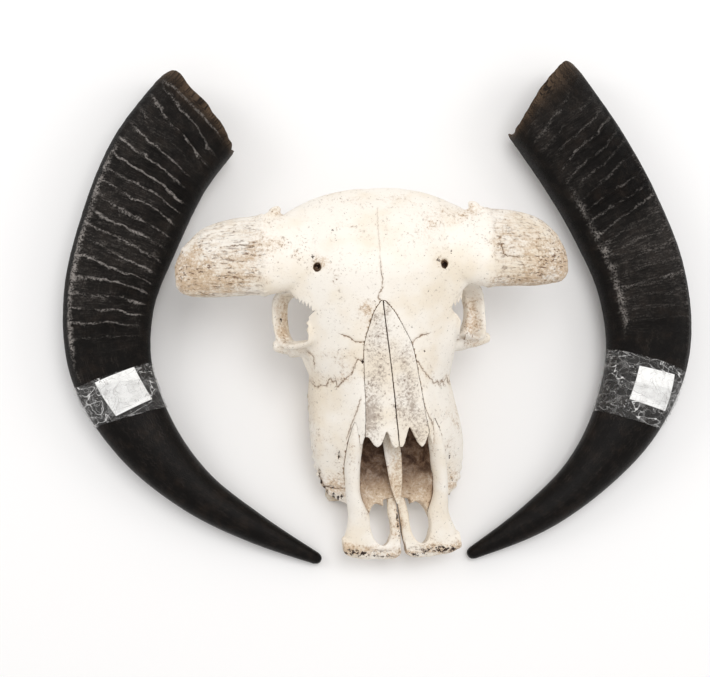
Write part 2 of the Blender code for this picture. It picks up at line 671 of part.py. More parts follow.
def main():
    clear_scene()
    home = new_collection("water buffalo skull")
    clearances = new_collection("clearances", helper=True)
    bone = material("bone", BONE_COLOUR, 0.6)
    tooth = material("tooth", (0.55, 0.45, 0.33, 1.0), 0.45)
    horn = material("horn", (0.025, 0.02, 0.017, 1.0), 0.45)
    paper = material("paper", (0.88, 0.87, 0.85, 1.0), 0.8)
    tape = material("tape", (0.85, 0.85, 0.83, 1.0), 0.15, alpha=0.35)

    resting = bpy.data.objects.new("skull_resting", None)
    home.objects.link(resting)
    resting.location = (SKULL_PLACE[0] * MM, SKULL_PLACE[1] * MM, 0.0)
    resting.rotation_euler.z = SKULL_YAW

    bones = [build_vomer(home, resting)]
    teeth = []
    for side in (-1, 1):
        bones.append(build_nasal(side, home, resting))
        bones.append(build_snout_bone(side, home, resting))
        teeth += build_teeth(side, home, resting)
    for piece in bones:
        grown_copy(piece, BONE_CLEARANCE, clearances)
    for piece in teeth:
        grown_copy(piece, TOOTH_CLEARANCE, clearances)
    bones.append(build_cranium(home, clearances, resting))
    for piece in bones:
        finish(piece, bone, 50.0)
    for piece in teeth:
        finish(piece, tooth, 30.0)

    for hand, stations, outer_side in (("left", LEFT_SHEATH, -1), ("right", RIGHT_SHEATH, 1)):
        sheath = Sheath(stations, outer_side, RIM_SLANT[hand], RIM_FLAKE[hand])
        finish(build_sheath(f"horn_sheath_{hand}", sheath, home), horn)
        finish(build_label(f"label_{hand}", sheath, LABEL_PLACE[hand], home), paper)
        finish(build_tape(f"tape_{hand}", sheath, *TAPE_PLACE[hand], home), tape)
    centre_on_origin(home, [obj for obj in home.objects if obj.parent is None])


main()
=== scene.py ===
# %% [markdown]
# # A water buffalo skull with its two loose horn sheaths
#
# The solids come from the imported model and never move. This script gives each of them a finely shaped skin:
# bleached bone with seams and pits, worn teeth, wrinkled black horn, paper labels and crumpled clear tape.
# Everything is in metres in the model's own frame, and the skull's shapes are written in millimetres.

import json
import math

import bmesh
import bpy
import numpy as np
from mathutils import Matrix, Vector
from mathutils.bvhtree import BVHTree

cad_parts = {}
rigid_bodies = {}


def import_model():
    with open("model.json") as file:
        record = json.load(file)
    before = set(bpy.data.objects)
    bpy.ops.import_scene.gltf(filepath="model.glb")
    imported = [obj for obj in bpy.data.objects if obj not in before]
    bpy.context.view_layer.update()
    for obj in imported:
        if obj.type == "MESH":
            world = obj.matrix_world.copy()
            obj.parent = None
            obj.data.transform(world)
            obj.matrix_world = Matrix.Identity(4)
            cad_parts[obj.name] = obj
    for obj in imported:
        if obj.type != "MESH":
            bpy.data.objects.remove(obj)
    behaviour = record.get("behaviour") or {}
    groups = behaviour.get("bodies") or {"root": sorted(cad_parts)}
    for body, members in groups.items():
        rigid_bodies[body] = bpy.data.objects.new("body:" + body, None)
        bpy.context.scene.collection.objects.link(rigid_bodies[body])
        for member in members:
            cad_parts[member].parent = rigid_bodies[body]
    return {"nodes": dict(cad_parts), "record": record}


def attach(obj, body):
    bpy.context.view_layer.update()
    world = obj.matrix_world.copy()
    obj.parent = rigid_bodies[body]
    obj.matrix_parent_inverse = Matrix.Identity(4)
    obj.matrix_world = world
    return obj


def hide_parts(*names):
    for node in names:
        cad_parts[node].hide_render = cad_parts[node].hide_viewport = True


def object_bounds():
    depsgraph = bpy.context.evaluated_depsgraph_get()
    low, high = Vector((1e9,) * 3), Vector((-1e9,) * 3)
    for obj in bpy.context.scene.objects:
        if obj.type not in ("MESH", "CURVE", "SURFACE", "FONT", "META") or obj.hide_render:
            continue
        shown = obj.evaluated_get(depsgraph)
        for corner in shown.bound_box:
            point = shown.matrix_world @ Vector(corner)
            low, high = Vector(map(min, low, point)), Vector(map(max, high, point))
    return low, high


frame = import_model()
solid_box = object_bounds()
MM = 0.001
print("solids:", len(frame["nodes"]), "box:", solid_box)

# %% [markdown]
# ## Where the skull lies
#
# The real skull isn't straight: its muzzle drifts to one side, and it lies a little turned. Each bone could
# be drawn bent, but then nothing could be mirrored. So the skull is described straight and symmetric, with
# x across, y towards the neck and z up, and one function takes a straight point to its real place. Every
# bone then bends in the same way. A second function undoes it.

# %% Places and bending
CENTRE_SHIFT = (1.474, 6.522)
SKULL_PLACE = (-20.5, -45.0)
SKULL_YAW = math.radians(3.2)
MUZZLE_BEND = 0.118
BEND_START = 20.0
BEND_SOFTNESS = 12.0
FACE_LEAN = 0.07
LEAN_LEVEL = 130.0
LEAN_RUN = 90.0


def drift(y, z):
    """How far a point of the face lies to the side of the straight skull."""
    ahead = np.maximum(0.0, BEND_START - y)
    return (MUZZLE_BEND * ahead * ahead / (ahead + BEND_SOFTNESS)
            + FACE_LEAN * (z - LEAN_LEVEL) * np.minimum(1.0, ahead / LEAN_RUN))


def place(points):
    """Straight skull points in millimetres to the model's frame in metres."""
    x, y, z = np.moveaxis(np.asarray(points, float), -1, 0)
    x = x + drift(y, z)
    c, s = math.cos(SKULL_YAW), math.sin(SKULL_YAW)
    return MM * np.stack((c * x - s * y + SKULL_PLACE[0] + CENTRE_SHIFT[0],
                          s * x + c * y + SKULL_PLACE[1] + CENTRE_SHIFT[1], z), -1)


def straighten(points):
    """The way back: places in the model's frame to the straight skull's millimetres."""
    x, y, z = np.moveaxis(np.asarray(points, float) / MM, -1, 0)
    x = x - SKULL_PLACE[0] - CENTRE_SHIFT[0]
    y = y - SKULL_PLACE[1] - CENTRE_SHIFT[1]
    c, s = math.cos(SKULL_YAW), math.sin(SKULL_YAW)
    x, y = c * x + s * y, c * y - s * x
    return np.stack((x - drift(y, z), y, z), -1)


TRIAL_POINT = (50.0, -200.0, 40.0)
round_trip = np.abs(straighten(place([TRIAL_POINT])) - TRIAL_POINT).max()
print("place and back differ by", round(float(round_trip), 9), "mm")

# %% [markdown]
# ## The photograph's camera
#
# The camera looks almost straight down. Its place was worked out from the sheaths and the width of the
# tape. Marks on the bone could be placed by trial on the model. Here they are written where they are seen,
# in a picture of 710 by 677 pixels, and `seen` says where that camera sees any point. So a seam lands where
# the photograph has it, whatever the bone's shape. The camera itself is made at the end.

# %% The view that the marks are written in
PICTURE = (710, 677)
AIM = np.array((-39.54, -46.5, 60.0)) * MM
EYE = np.array((-212.04, -276.1, 1684.8)) * MM
LENS_MM = 67.47
SENSOR_MM = 36.0
sight = (AIM - EYE) / np.linalg.norm(AIM - EYE)
sight_right = np.cross(sight, (0.0, 1.0, 0.0))
sight_right = sight_right / np.linalg.norm(sight_right)
sight_up = np.cross(sight_right, sight)
PIXELS_PER_SLOPE = LENS_MM / SENSOR_MM * PICTURE[0]


def seen(points):
    """Where the camera sees each point, in pixels from the top left corner."""
    ray = np.asarray(points, float) - EYE
    depth = ray @ sight
    return np.stack((PICTURE[0] / 2 + PIXELS_PER_SLOPE * (ray @ sight_right) / depth,
                     PICTURE[1] / 2 - PIXELS_PER_SLOPE * (ray @ sight_up) / depth), -1)


def ray_through(pixel):
    """The direction from the camera through a pixel."""
    across = (pixel[0] - PICTURE[0] / 2) / PIXELS_PER_SLOPE
    down = (pixel[1] - PICTURE[1] / 2) / PIXELS_PER_SLOPE
    ray = sight + sight_right * across - sight_up * down
    return Vector(ray / np.linalg.norm(ray))


print("the camera aims at pixel", seen(AIM).round(1))

# %% [markdown]
# ## Grown shapes
#
# A bone has no flat sides and no repeated profile, so it can't be turned or extruded. It can be described
# as a skin over rings of points, as a boat is by its ribs. A grid operator gives the faces, and each of its
# vertices is moved on to a ring. The seam is then welded and the ends are filled. Smooth random values,
# which are the same on every run, make the surfaces uneven.

# %% Smooth curves and skins


def between(p0, p1, p2, p3, f):
    """A point of the smooth line through four points, at the share f of the way from p1 to p2."""
    return 0.5 * (2 * p1 + (p2 - p0) * f + (2 * p0 - 5 * p1 + 4 * p2 - p3) * f**2
                  + (3 * p1 - p0 - 3 * p2 + p3) * f**3)


def curve(points, steps):
    """A smooth line through the points, with steps - 1 more between each pair."""
    points = np.asarray(points, float)
    padded = np.concatenate([points[:1], points, points[-1:]])
    line = [between(*padded[i:i + 4], f) for i in range(len(points) - 1) for f in np.arange(steps) / steps]
    line.append(points[-1])
    return np.array(line)


def rounded(value, power):
    """A cosine or sine made squarer, for sections between an ellipse and a box."""
    return np.sign(value) * np.abs(value) ** (2 / power)


def new_collection(name):
    made = bpy.data.collections.new(name)
    bpy.context.scene.collection.children.link(made)
    return made


def new_object(name, mesh, home=None):
    made = bpy.data.objects.new(name, mesh)
    (home or bpy.context.scene.collection).objects.link(made)
    return made


def mesh_from(bm, name):
    mesh = bpy.data.meshes.new(name)
    bm.to_mesh(mesh)
    bm.free()
    return mesh


WELD = 1e-7


def skin_mesh(rings, wrap=True, caps=True):
    """A skin over rows of points in metres. With wrap, each row comes back to its first point."""
    rings = np.asarray(rings)
    rows, columns = rings.shape[:2]
    bm = bmesh.new()
    bmesh.ops.create_grid(bm, x_segments=columns if wrap else columns - 1, y_segments=rows - 1, size=1.0)
    width = columns + 1 if wrap else columns
    for index, vertex in enumerate(bm.verts):
        row, column = divmod(index, width)
        vertex.co = rings[row, column % columns]
    if wrap:
        bmesh.ops.remove_doubles(bm, verts=bm.verts, dist=WELD)
    if caps:
        bmesh.ops.holes_fill(bm, edges=[edge for edge in bm.edges if edge.is_boundary])
    bmesh.ops.recalc_face_normals(bm, faces=bm.faces)
    return bm


def skin(name, rings, home=None):
    return new_object(name, mesh_from(skin_mesh(rings), name), home)


trial = skin("trial", np.zeros((2, 6, 3)))
print("two rings of 6 points, all in one place, weld to", len(trial.data.vertices), "vertex")
bpy.data.objects.remove(trial)

# %% Random values, ramps and bells
HASH_STEPS = (374761393, 668265263, 1274126177)
HASH_BITS = 0x7FFFFFFF
SEED_STEP, OCTAVE_STEP = 97, 7919
SEED_SHIFT = 17.37
GRAIN_LEVEL = 1.6


def grain(points, size, seed, octaves):
    """Smooth random values, about -1 to 1, that change over about size, in the points' own unit."""
    points = np.asarray(points, float)
    shape = points.shape[:-1]
    points = points.reshape(-1, 3)
    total = np.zeros(points.shape[0])
    strength = 1.0
    for octave in range(octaves):
        spot = points / size * 2.0**octave + seed * SEED_SHIFT
        cell = np.floor(spot).astype(np.int64)
        part = spot - cell
        part = part * part * (3 - 2 * part)
        value = np.zeros(points.shape[0])
        for corner in np.ndindex(2, 2, 2):
            mixed = sum((cell[:, axis] + corner[axis]) * HASH_STEPS[axis] for axis in range(3))
            mixed = (mixed + seed * SEED_STEP + octave * OCTAVE_STEP) & HASH_BITS
            mixed = ((mixed ^ (mixed >> 13)) * HASH_STEPS[2]) & HASH_BITS
            mixed = mixed ^ (mixed >> 16)
            weight = np.ones(points.shape[0])
            for axis in range(3):
                weight = weight * (part[:, axis] if corner[axis] else 1 - part[:, axis])
            value += weight * ((mixed & 0xFFFF) / 32767.5 - 1)
        total += value * strength
        strength *= 0.5
    return (total / GRAIN_LEVEL).reshape(shape)


def ramp(value, low, high):
    """0 below low, 1 above high, and a smooth step between."""
    share = np.clip((value - low) / (high - low), 0.0, 1.0)
    return share * share * (3 - 2 * share)


def bell(value, middle, width):
    """1 at the middle, falling smoothly to nothing on both sides."""
    return np.exp(-((value - middle) / width) ** 2)


print("grain at three places:", grain(np.eye(3), 2.0, 1, 2).round(3))

# %% [markdown]
# ## The cranium's forms
#
# Forehead, braincase and upper jaw are one skin over cross-sections. Horn cores, eye sockets, cheek bars
# and the prongs beside the neck are limbs that are joined to it, and the nose, the throat and the small
# holes are cut out of it. One skin over all of them would need a net drawn by hand round every opening. A
# voxel remesh grows everything into one surface instead, as bone does.

# %% Sizes of the head
FACE_ROOF_ARCH = 0.0035
ORBIT_CENTRE = {-1: (106.0, 11.0, 127.0), 1: (117.0, 13.0, 127.0)}
ORBIT_HALF_LENGTH = 36.0
ORBIT_HALF_WIDTH = 31.0
ORBIT_DEPTH = 22.0
ORBIT_WALL = 5.0
ORBIT_SQUARENESS = 3.4
ORBIT_FACING = np.array((0.75, -0.04, 0.65))
FISSURE_CENTRE = (24.5, -236.5)
FISSURE_HALF = (13.0, 26.0)
NOSE_FLOOR = 52.0

ROOF_LINE = ((159, 158), (142, 175), (105, 192), (60, 198), (20, 185), (-25, 166), (-65, 151), (-127, 130),
             (-170, 112))

# Half cross-sections of the head, from the top centre round to the bottom centre: y, then (x, z) points.
HEAD_SECTIONS = (
    (159, ((0, 158), (22, 156), (36, 149), (40, 136), (36, 118), (28, 104), (14, 96), (0, 95))),
    (152, ((0, 167), (38, 164), (62, 154), (69, 138), (60, 110), (42, 88), (20, 78), (0, 76))),
    (142, ((0, 175), (43, 172), (77, 161), (92, 143), (78, 108), (58, 72), (30, 52), (0, 48))),
    (128, ((0, 184), (45, 181), (87, 169), (112, 149), (84, 114), (60, 68), (32, 46), (0, 42))),
    (105, ((0, 192), (46, 190), (90, 175), (118, 151), (80, 120), (60, 72), (34, 44), (0, 40))),
    (60, ((0, 198), (46, 195), (90, 177), (122, 151), (76, 124), (56, 76), (34, 47), (0, 44))),
    (20, ((0, 185), (40, 181), (72, 167), (92, 149), (62, 120), (46, 80), (34, 54), (0, 50))),
    (-25, ((0, 166), (34, 162), (64, 146), (90, 122), (84, 94), (72, 56), (48, 42), (0, 52))),
    (-65, ((0, 151), (32, 147), (54, 131), (76, 104), (85, 80), (82, 42), (57, 33), (0, 46))),
    (-127, ((0, 130), (36, 126), (52, 113), (75, 94), (92, 72), (88, 38), (58, 30), (0, 44))),
    (-170, ((0, 92), (36, 90), (48, 84), (68, 68), (88, 52), (87, 30), (57, 27), (0, 42))),
    (-197, ((0, 60), (36, 59), (48, 57), (62, 52), (77, 43), (75, 30), (50, 27), (0, 42))),
    (-216, ((0, 54), (26, 54), (36, 53), (44, 50), (50, 42), (46, 34), (40, 32), (0, 42))),
    (-234, ((0, 50), (20, 50), (28, 50), (36, 48), (41, 43), (38, 38), (30, 37), (0, 40))),
)
# The horn core from inside the forehead to its blunt end: x, y, z, half length, half height.
CORE_SECTIONS = (
    (70, 88, 156, 42, 26), (105, 85, 154, 45, 28), (128, 84, 151, 47, 29), (134, 84, 150, 49, 31),
    (141, 84, 149, 47, 29), (165, 83, 147, 46, 29), (190, 80, 145, 43, 27), (208, 76, 142, 37, 23),
    (224, 69, 140, 27, 16), (233, 64, 139, 12, 8),
)
CORE_REACH = {-1: 1.045, 1: 0.995}
CORE_START = 130
CHEEK_BAR = (
    (100, -30, 90, 9, 14), (116, 10, 92, 5, 11), (113, 45, 88, 5, 10), (106, 80, 84, 5, 9),
    (92, 110, 82, 7, 10), (66, 124, 82, 10, 12),
)
FACE_CREST = ((88, -20, 93, 9, 8), (84, -38, 90, 8, 9), (77, -62, 84, 8, 9), (75, -86, 77, 8, 8),
              (80, -112, 71, 9, 9), (84, -138, 62, 6, 8))
CHEEK_CORNER = ((70, -22, 104, 11, 13), (96, -21, 99, 9, 11), (113, -19, 97, 8, 9), (124, -17, 98, 6, 7))
NECK_PRONG = ((60, 128, 84, 14, 12), (60, 131, 60, 12, 11), (57, 130, 34, 9, 9), (55, 127, 12, 7, 8),
              (55, 126, 0.4, 4, 5))
PASSAGE_PLATE = ((24, 40, 46, 4, 12), (24, 10, 38, 3.5, 16), (25, -20, 36, 3.5, 12), (28, -40, 40, 4, 8))
# The hollow of the nose, open to the front and top: y, half width, floor, ceiling.
NOSE_HOLLOW = ((-232, 44, 56, 150), (-200, 45, 53, 160), (-170, 46, NOSE_FLOOR, 170),
               (-148, 44, NOSE_FLOOR, 175), (-122, 34, 54, 180), (-90, 27, 56, 185), (-40, 22, 62, 190),
               (0, 14, 72, 190), (14, 6, 100, 190))
THROAT_HOLLOW = ((30, 15, 10, 50), (0, 18, 18, 62), (-20, 18, 34, 76), (-45, 14, 58, 84))

ORBIT_SIDES, GAP_SIDES = 56, 48
LIMB_STEPS = 5
TUNNEL_STEPS, TUNNEL_SIDES, TUNNEL_SQUARENESS = 4, 28, 4
HEAD_STEPS_ALONG, HEAD_STEPS_ROUND = 5, 4
print("head sections:", len(HEAD_SECTIONS), "core sections:", len(CORE_SECTIONS))

# %% Limbs, tunnels and lumps


def circle(sides):
    """Angles evenly round a ring."""
    return np.linspace(0, 2 * np.pi, sides, endpoint=False)


def limb(name, sections, side, home, sides=20, flat=2.0):
    """A tapering bar of rounded section along its own path."""
    path = curve(sections, LIMB_STEPS)
    run = np.abs(np.gradient(path[:, :3], axis=0))
    angle = circle(sides)
    still = np.zeros(sides)
    rings = []
    for (x, y, z, half_width, half_height), (rx, ry, rz) in zip(path, run):
        across = half_width * rounded(np.cos(angle), flat)
        other = half_height * rounded(np.sin(angle), flat)
        if rx > max(ry, rz):
            offset = np.stack((still, across, other), -1)
        elif rz > max(rx, ry):
            offset = np.stack((across, other, still), -1)
        else:
            offset = np.stack((across, still, other), -1)
        ring = (x, y, z) + offset
        rings.append(ring * (side, 1, 1))
    return skin(name, place(rings), home)


def tunnel(name, sections, home):
    """A rounded hollow along the midline: y, half width, floor, ceiling at each place."""
    angle = circle(TUNNEL_SIDES)
    across = rounded(np.cos(angle), TUNNEL_SQUARENESS)
    upward = rounded(np.sin(angle), TUNNEL_SQUARENESS)
    rings = [np.stack((half_width * across, np.full(TUNNEL_SIDES, y),
                       (floor + ceiling) / 2 + (ceiling - floor) / 2 * upward), -1)
             for y, half_width, floor, ceiling in curve(sections, TUNNEL_STEPS)]
    return skin(name, place(rings), home)


def lump(name, centre, radii, home, turn=0.0):
    """An egg-shaped boss or pit, turned about the upright by turn degrees."""
    bm = bmesh.new()
    bmesh.ops.create_icosphere(bm, subdivisions=3, radius=1.0)
    c, s = math.cos(math.radians(turn)), math.sin(math.radians(turn))
    for vertex in bm.verts:
        x, y, z = (r * v for r, v in zip(radii, vertex.co))
        vertex.co = place((centre[0] + c * x - s * y, centre[1] + s * x + c * y, centre[2] + z))
    return new_object(name, mesh_from(bm, name), home)


def block(name, outline, low, high, home, side):
    """An upright block over a flat outline."""
    rings = [[(side * x, y, z) for x, y in outline] for z in (low, high)]
    return skin(name, place(rings), home)


def head_rings():
    """Smooth rings of the head through its half cross-sections, mirrored across the midline."""
    halves = np.array([[(x, y, z) for x, z in points] for y, points in HEAD_SECTIONS], float)
    rings = []
    for half in curve(halves, HEAD_STEPS_ALONG):
        half = curve(half, HEAD_STEPS_ROUND)
        rings.append(np.concatenate((half, half[-2:0:-1] * (-1, 1, 1))))
    return place(rings)


def orbit_ring(side, home):
    """The short flared tube of bone round an eye. It faces outwards and up."""
    axis = ORBIT_FACING / np.linalg.norm(ORBIT_FACING)
    along = np.array((0.0, 1.0, 0.0)) - axis * axis[1]
    along = along / np.linalg.norm(along)
    across = np.cross(axis, along)
    # How deep and how far out each ring of the tube lies: down its inside and back up its outside.
    profile = ((0.3, 0.4), (-3, -1.2), (-ORBIT_DEPTH / 2, -2.2), (-ORBIT_DEPTH, -3),
               (-ORBIT_DEPTH, ORBIT_WALL - 1.5), (-ORBIT_DEPTH / 2, ORBIT_WALL - 0.5), (-4, ORBIT_WALL + 0.3),
               (-0.6, ORBIT_WALL - 0.8))
    angle = circle(ORBIT_SIDES)
    rings = []
    for depth, out in profile + profile[:1]:
        reach_along = (ORBIT_HALF_LENGTH - ORBIT_WALL + out) * rounded(np.cos(angle), ORBIT_SQUARENESS)
        reach_across = (ORBIT_HALF_WIDTH - ORBIT_WALL + out) * rounded(np.sin(angle), ORBIT_SQUARENESS)
        ring = (np.array(ORBIT_CENTRE[side]) + axis * depth + reach_along[:, None] * along
                + reach_across[:, None] * across)
        rings.append(ring * (side, 1, 1))
    bm = skin_mesh(place(rings), caps=False)
    bmesh.ops.remove_doubles(bm, verts=bm.verts, dist=WELD)
    bmesh.ops.recalc_face_normals(bm, faces=bm.faces)
    return new_object("eye_rim", mesh_from(bm, "eye_rim"), home)


def palate_gap(side, home):
    """The oval gap beside the midline, between the bones in front and the palate behind."""
    (x, y), (half_width, half_length) = FISSURE_CENTRE, FISSURE_HALF
    outline = [(x + half_width * math.cos(a), y + half_length * math.sin(a)) for a in circle(GAP_SIDES)]
    return block("palate_gap", outline, 0, 90, home, side)


print("rings of the head:", head_rings().shape)

# %% Joining and cutting


def boolean(obj, operation, collection, solver="EXACT"):
    modifier = obj.modifiers.new(operation.title(), "BOOLEAN")
    modifier.operation = operation
    modifier.solver = solver
    modifier.operand_type = "COLLECTION"
    modifier.collection = collection


def grow_together(obj, voxel, smooth_steps):
    """Blends joined forms into one surface of even little faces."""
    remesh = obj.modifiers.new("Grow together", "REMESH")
    remesh.mode = "VOXEL"
    remesh.voxel_size = voxel * MM
    smooth = obj.modifiers.new("Soften", "SMOOTH")
    smooth.factor = 0.5
    smooth.iterations = smooth_steps


def settle(obj):
    """Turns an object's modifiers into its real mesh."""
    bpy.context.view_layer.update()
    graph = bpy.context.evaluated_depsgraph_get()
    mesh = bpy.data.meshes.new_from_object(obj.evaluated_get(graph))
    obj.modifiers.clear()
    obj.data = mesh
    return obj


def discard(collection):
    for obj in list(collection.objects):
        bpy.data.objects.remove(obj, do_unlink=True)
    bpy.data.collections.remove(collection)


def fuse(bone, forms, hollows, voxel, smooth_steps):
    """Joins forms to a bone, cuts hollows from it, and grows the result into one surface."""
    if forms:
        boolean(bone, "UNION", forms)
    boolean(bone, "DIFFERENCE", hollows)
    grow_together(bone, voxel, smooth_steps)
    settle(bone)
    for used in (forms, hollows):
        if used:
            discard(used)
    return bone


def thin_out(obj, most_triangles):
    """Keeps a piece under a number of triangles, taking faces first where the surface is flat."""
    obj.data.calc_loop_triangles()
    count = len(obj.data.loop_triangles)
    if count > most_triangles:
        thin = obj.modifiers.new("Fewer faces", "DECIMATE")
        thin.ratio = most_triangles / count
        settle(obj)
    print(obj.name, count, "triangles, kept", min(count, most_triangles))


# %% [markdown]
# ## Working on the surface
#
# Once a bone is one fine mesh, its vertices are moved as a sculptor would move them. A displace modifier
# could do it from a texture, but not from marks seen in a photograph. The same arrays of points also paint
# the marks that the materials read: how stained, how porous and how deep in a hollow each point is, which
# also sets painted shade in hollows and recesses, and how far it is from the nearest seam.

# %% Reading, moving and painting vertices


def places(obj):
    flat = np.empty(len(obj.data.vertices) * 3, np.float32)
    obj.data.vertices.foreach_get("co", flat)
    return flat.reshape(-1, 3).astype(float)


def facings(obj):
    flat = np.empty(len(obj.data.vertices) * 3, np.float32)
    obj.data.vertex_normals.foreach_get("vector", flat)
    return flat.reshape(-1, 3).astype(float)


def skull_places(obj):
    """Where an object's vertices lie on the straight skull, in millimetres."""
    return straighten(places(obj))


def move_to(obj, points):
    obj.data.vertices.foreach_set("co", points.astype(np.float32).ravel())
    obj.data.update()


def raise_by(obj, millimetres):
    """Moves each vertex outwards by its own amount."""
    move_to(obj, places(obj) + facings(obj) * millimetres[:, None] * MM)


def paint(obj, name, values):
    layer = obj.data.attributes.new(name, "FLOAT", "POINT")
    layer.data.foreach_set("value", np.asarray(values, np.float32))


def line_offset(pixels, line):
    """Distance from each pixel place to a line of points, with a sign for its side of it."""
    line = np.asarray(line, float)
    best = np.full(len(pixels), 1e9)
    signed = np.full(len(pixels), 1e9)
    for a, b in zip(line, line[1:]):
        run = b - a
        share = np.clip(((pixels - a) @ run) / (run @ run), 0.0, 1.0)
        gap = pixels - (a + share[:, None] * run)
        distance = np.hypot(gap[:, 0], gap[:, 1])
        side = np.where(run[0] * gap[:, 1] - run[1] * gap[:, 0] < 0, -1.0, 1.0)
        nearer = distance < best
        best = np.where(nearer, distance, best)
        signed = np.where(nearer, distance * side, signed)
    return signed


def blots(pixels, spots):
    """Soft round marks: x, y, half width, half height and strength of each, in pixels."""
    total = np.zeros(len(pixels))
    for x, y, half_width, half_height, strength in spots:
        across, down = (pixels[:, 0] - x) / half_width, (pixels[:, 1] - y) / half_height
        total += strength * np.exp(-across ** 2 - down ** 2)
    return total


MM_PER_PIXEL = 1.2
FAR_FROM_SEAM = 20.0
SEAM_REACH = (3.0, 5.5)
UPWARD = 0.1


def seams(obj, lines):
    """Distance in mm to the nearest seam, with a sign for its side, and how strong the seam is here.

    Each line is a strength and then its points in pixels. Far from a seam, and below, its strength is 0.
    """
    pixels = seen(places(obj))
    signed = np.full(len(pixels), FAR_FROM_SEAM)
    strength = np.zeros(len(pixels))
    for weight, *line in lines:
        offset = line_offset(pixels, line) * MM_PER_PIXEL
        nearer = np.abs(offset) < np.abs(signed)
        signed = np.where(nearer, offset, signed)
        strength = np.where(nearer, weight, strength)
    up = facings(obj)[:, 2] > UPWARD
    return signed, strength * up * (1 - ramp(np.abs(signed), *SEAM_REACH))


print("a pixel 3 below a line lies", line_offset(np.array([(5.0, 3.0)]), ((0, 0), (10, 0))), "pixels from it")

# %% [markdown]
# ### What is seen on the cranium
#
# Zigzag seams join the bones, cracks run from the broken edges, and brown stains and dark pits lie on the
# cores, round the eyes and on the cheeks. A random pattern could give stains of the right kind, but not in
# their places. So they were read off the photograph, and chance only breaks up their edges.

# %% Marks on the cranium, in pixels
SEAMS = (
    (0.22, (377.5, 210), (378, 225), (379.5, 245), (380, 262)),
    (0.75, (380, 262), (382.5, 278), (382.5, 287), (379, 295), (378.5, 299), (384, 302)),
    (0.9, (364.5, 342), (355, 341.7), (350, 337.5), (342.5, 335)),
    (0.9, (411.5, 343), (417.5, 337.5), (421.7, 335), (427.5, 334)),
    (0.8, (363.5, 362), (357.5, 359), (355, 365), (351.7, 374), (345, 379), (337.5, 387), (335.8, 380),
     (333.3, 383), (330.8, 378.5), (328.5, 380), (326.7, 386), (321, 385), (316.7, 387.5), (311, 382),
     (305, 374)),
    (0.8, (416, 360.5), (419, 363), (423, 370), (426.7, 375), (431, 379), (434, 384), (437.5, 381),
     (439, 385), (441.7, 380), (443.3, 384), (446, 376), (448.5, 383), (452, 378), (457.5, 370),
     (460, 362)),
    (0.7, (360.5, 400), (355, 416), (350.8, 426.7), (347.5, 437)),
    (0.7, (420, 393), (426.3, 410), (432.5, 423), (437.5, 437)),
    (0.8, (308, 351.5), (313.5, 356.5), (314.5, 366)),
    (1.0, (501, 244), (503, 249), (503.5, 254), (508, 256), (518, 256.5)),
    (0.8, (231, 246), (240, 245), (252, 247)),
    (0.9, (319, 470), (320.5, 479), (324, 486), (333, 488), (345, 488.5)),
)
STAINS = (
    (185, 272, 20, 24, 1.0), (214, 284, 34, 10, 0.75), (240, 262, 26, 14, 0.35), (300, 250, 24, 24, 0.16),
    (268, 245, 16, 18, 0.38), (275, 213, 14, 8, 0.45), (345, 200, 34, 7, 0.32), (400, 201, 18, 9, 0.4),
    (430, 225, 22, 18, 0.35), (455, 214, 22, 12, 0.3), (475, 208, 12, 8, 0.5), (505, 238, 22, 16, 0.3),
    (545, 262, 26, 28, 0.62), (520, 284, 36, 8, 0.75), (566, 262, 8, 20, 0.8), (352, 230, 14, 14, 0.25),
    (322, 262, 9, 8, 0.75), (335, 282, 9, 14, 0.35), (368, 318, 12, 16, 0.42), (365, 306, 10, 10, 0.25),
    (439, 262, 6, 6, 0.7), (345, 358, 12, 12, 0.4), (345, 379, 9, 5, 0.8), (318, 378, 14, 12, 0.3),
    (300, 352, 20, 8, 0.4), (281, 340, 8, 14, 0.4), (478, 345, 12, 6, 0.55), (430, 372, 12, 12, 0.3),
    (345, 470, 12, 24, 0.35), (318, 440, 10, 30, 0.3), (332, 490, 20, 12, 0.9), (452, 440, 8, 30, 0.35),
    (452, 480, 8, 12, 0.8), (305, 400, 10, 20, 0.35), (458, 400, 8, 20, 0.4),
    (283, 318, 7, 26, 0.85), (472, 318, 9, 22, 0.85),
)
DARK_SPOTS = (
    (362, 361, 1.4, 2.2, 1.0), (413.5, 361.5, 1.4, 2.0, 1.0), (346, 350, 0.9, 2.0, 0.9),
    (345.5, 358, 1.2, 1.2, 0.9), (424.5, 351, 0.9, 1.6, 0.8), (425.5, 360, 1.1, 1.1, 0.9),
    (419.5, 393.5, 1.4, 2.0, 1.0), (312.5, 256, 1.8, 1.8, 0.7), (334.5, 239, 1.3, 1.3, 0.7),
    (332.5, 230, 2.2, 1.4, 0.6), (450.7, 252, 1.8, 1.6, 0.8), (438.5, 260.5, 2.6, 2.0, 0.6),
    (281, 320, 1.2, 2.4, 0.9), (338.7, 291.7, 1.2, 1.0, 0.6), (429, 290, 1.0, 1.0, 0.6),
    (317.4, 266.5, 2.6, 3.4, 1.3), (444.6, 265.0, 2.2, 3.2, 1.3), (339, 455.5, 1.1, 3.6, 1.2),
    (449.6, 455, 0.9, 3, 1.0), (319.3, 474, 0.9, 3.4, 1.2), (321.3, 481.5, 1.0, 3.2, 1.1),
    (323.4, 488, 1.1, 3, 1.2), (327, 493.5, 1.0, 3, 1.1), (333.5, 495, 1.0, 3, 1.2),
    (338, 497.5, 1.2, 3, 1.1), (342, 497.5, 1.0, 3, 1.2), (330, 487, 3.4, 1.3, 0.9),
    (451.3, 479, 1.0, 3.6, 1.1), (450, 471, 0.9, 2.4, 0.9),
)
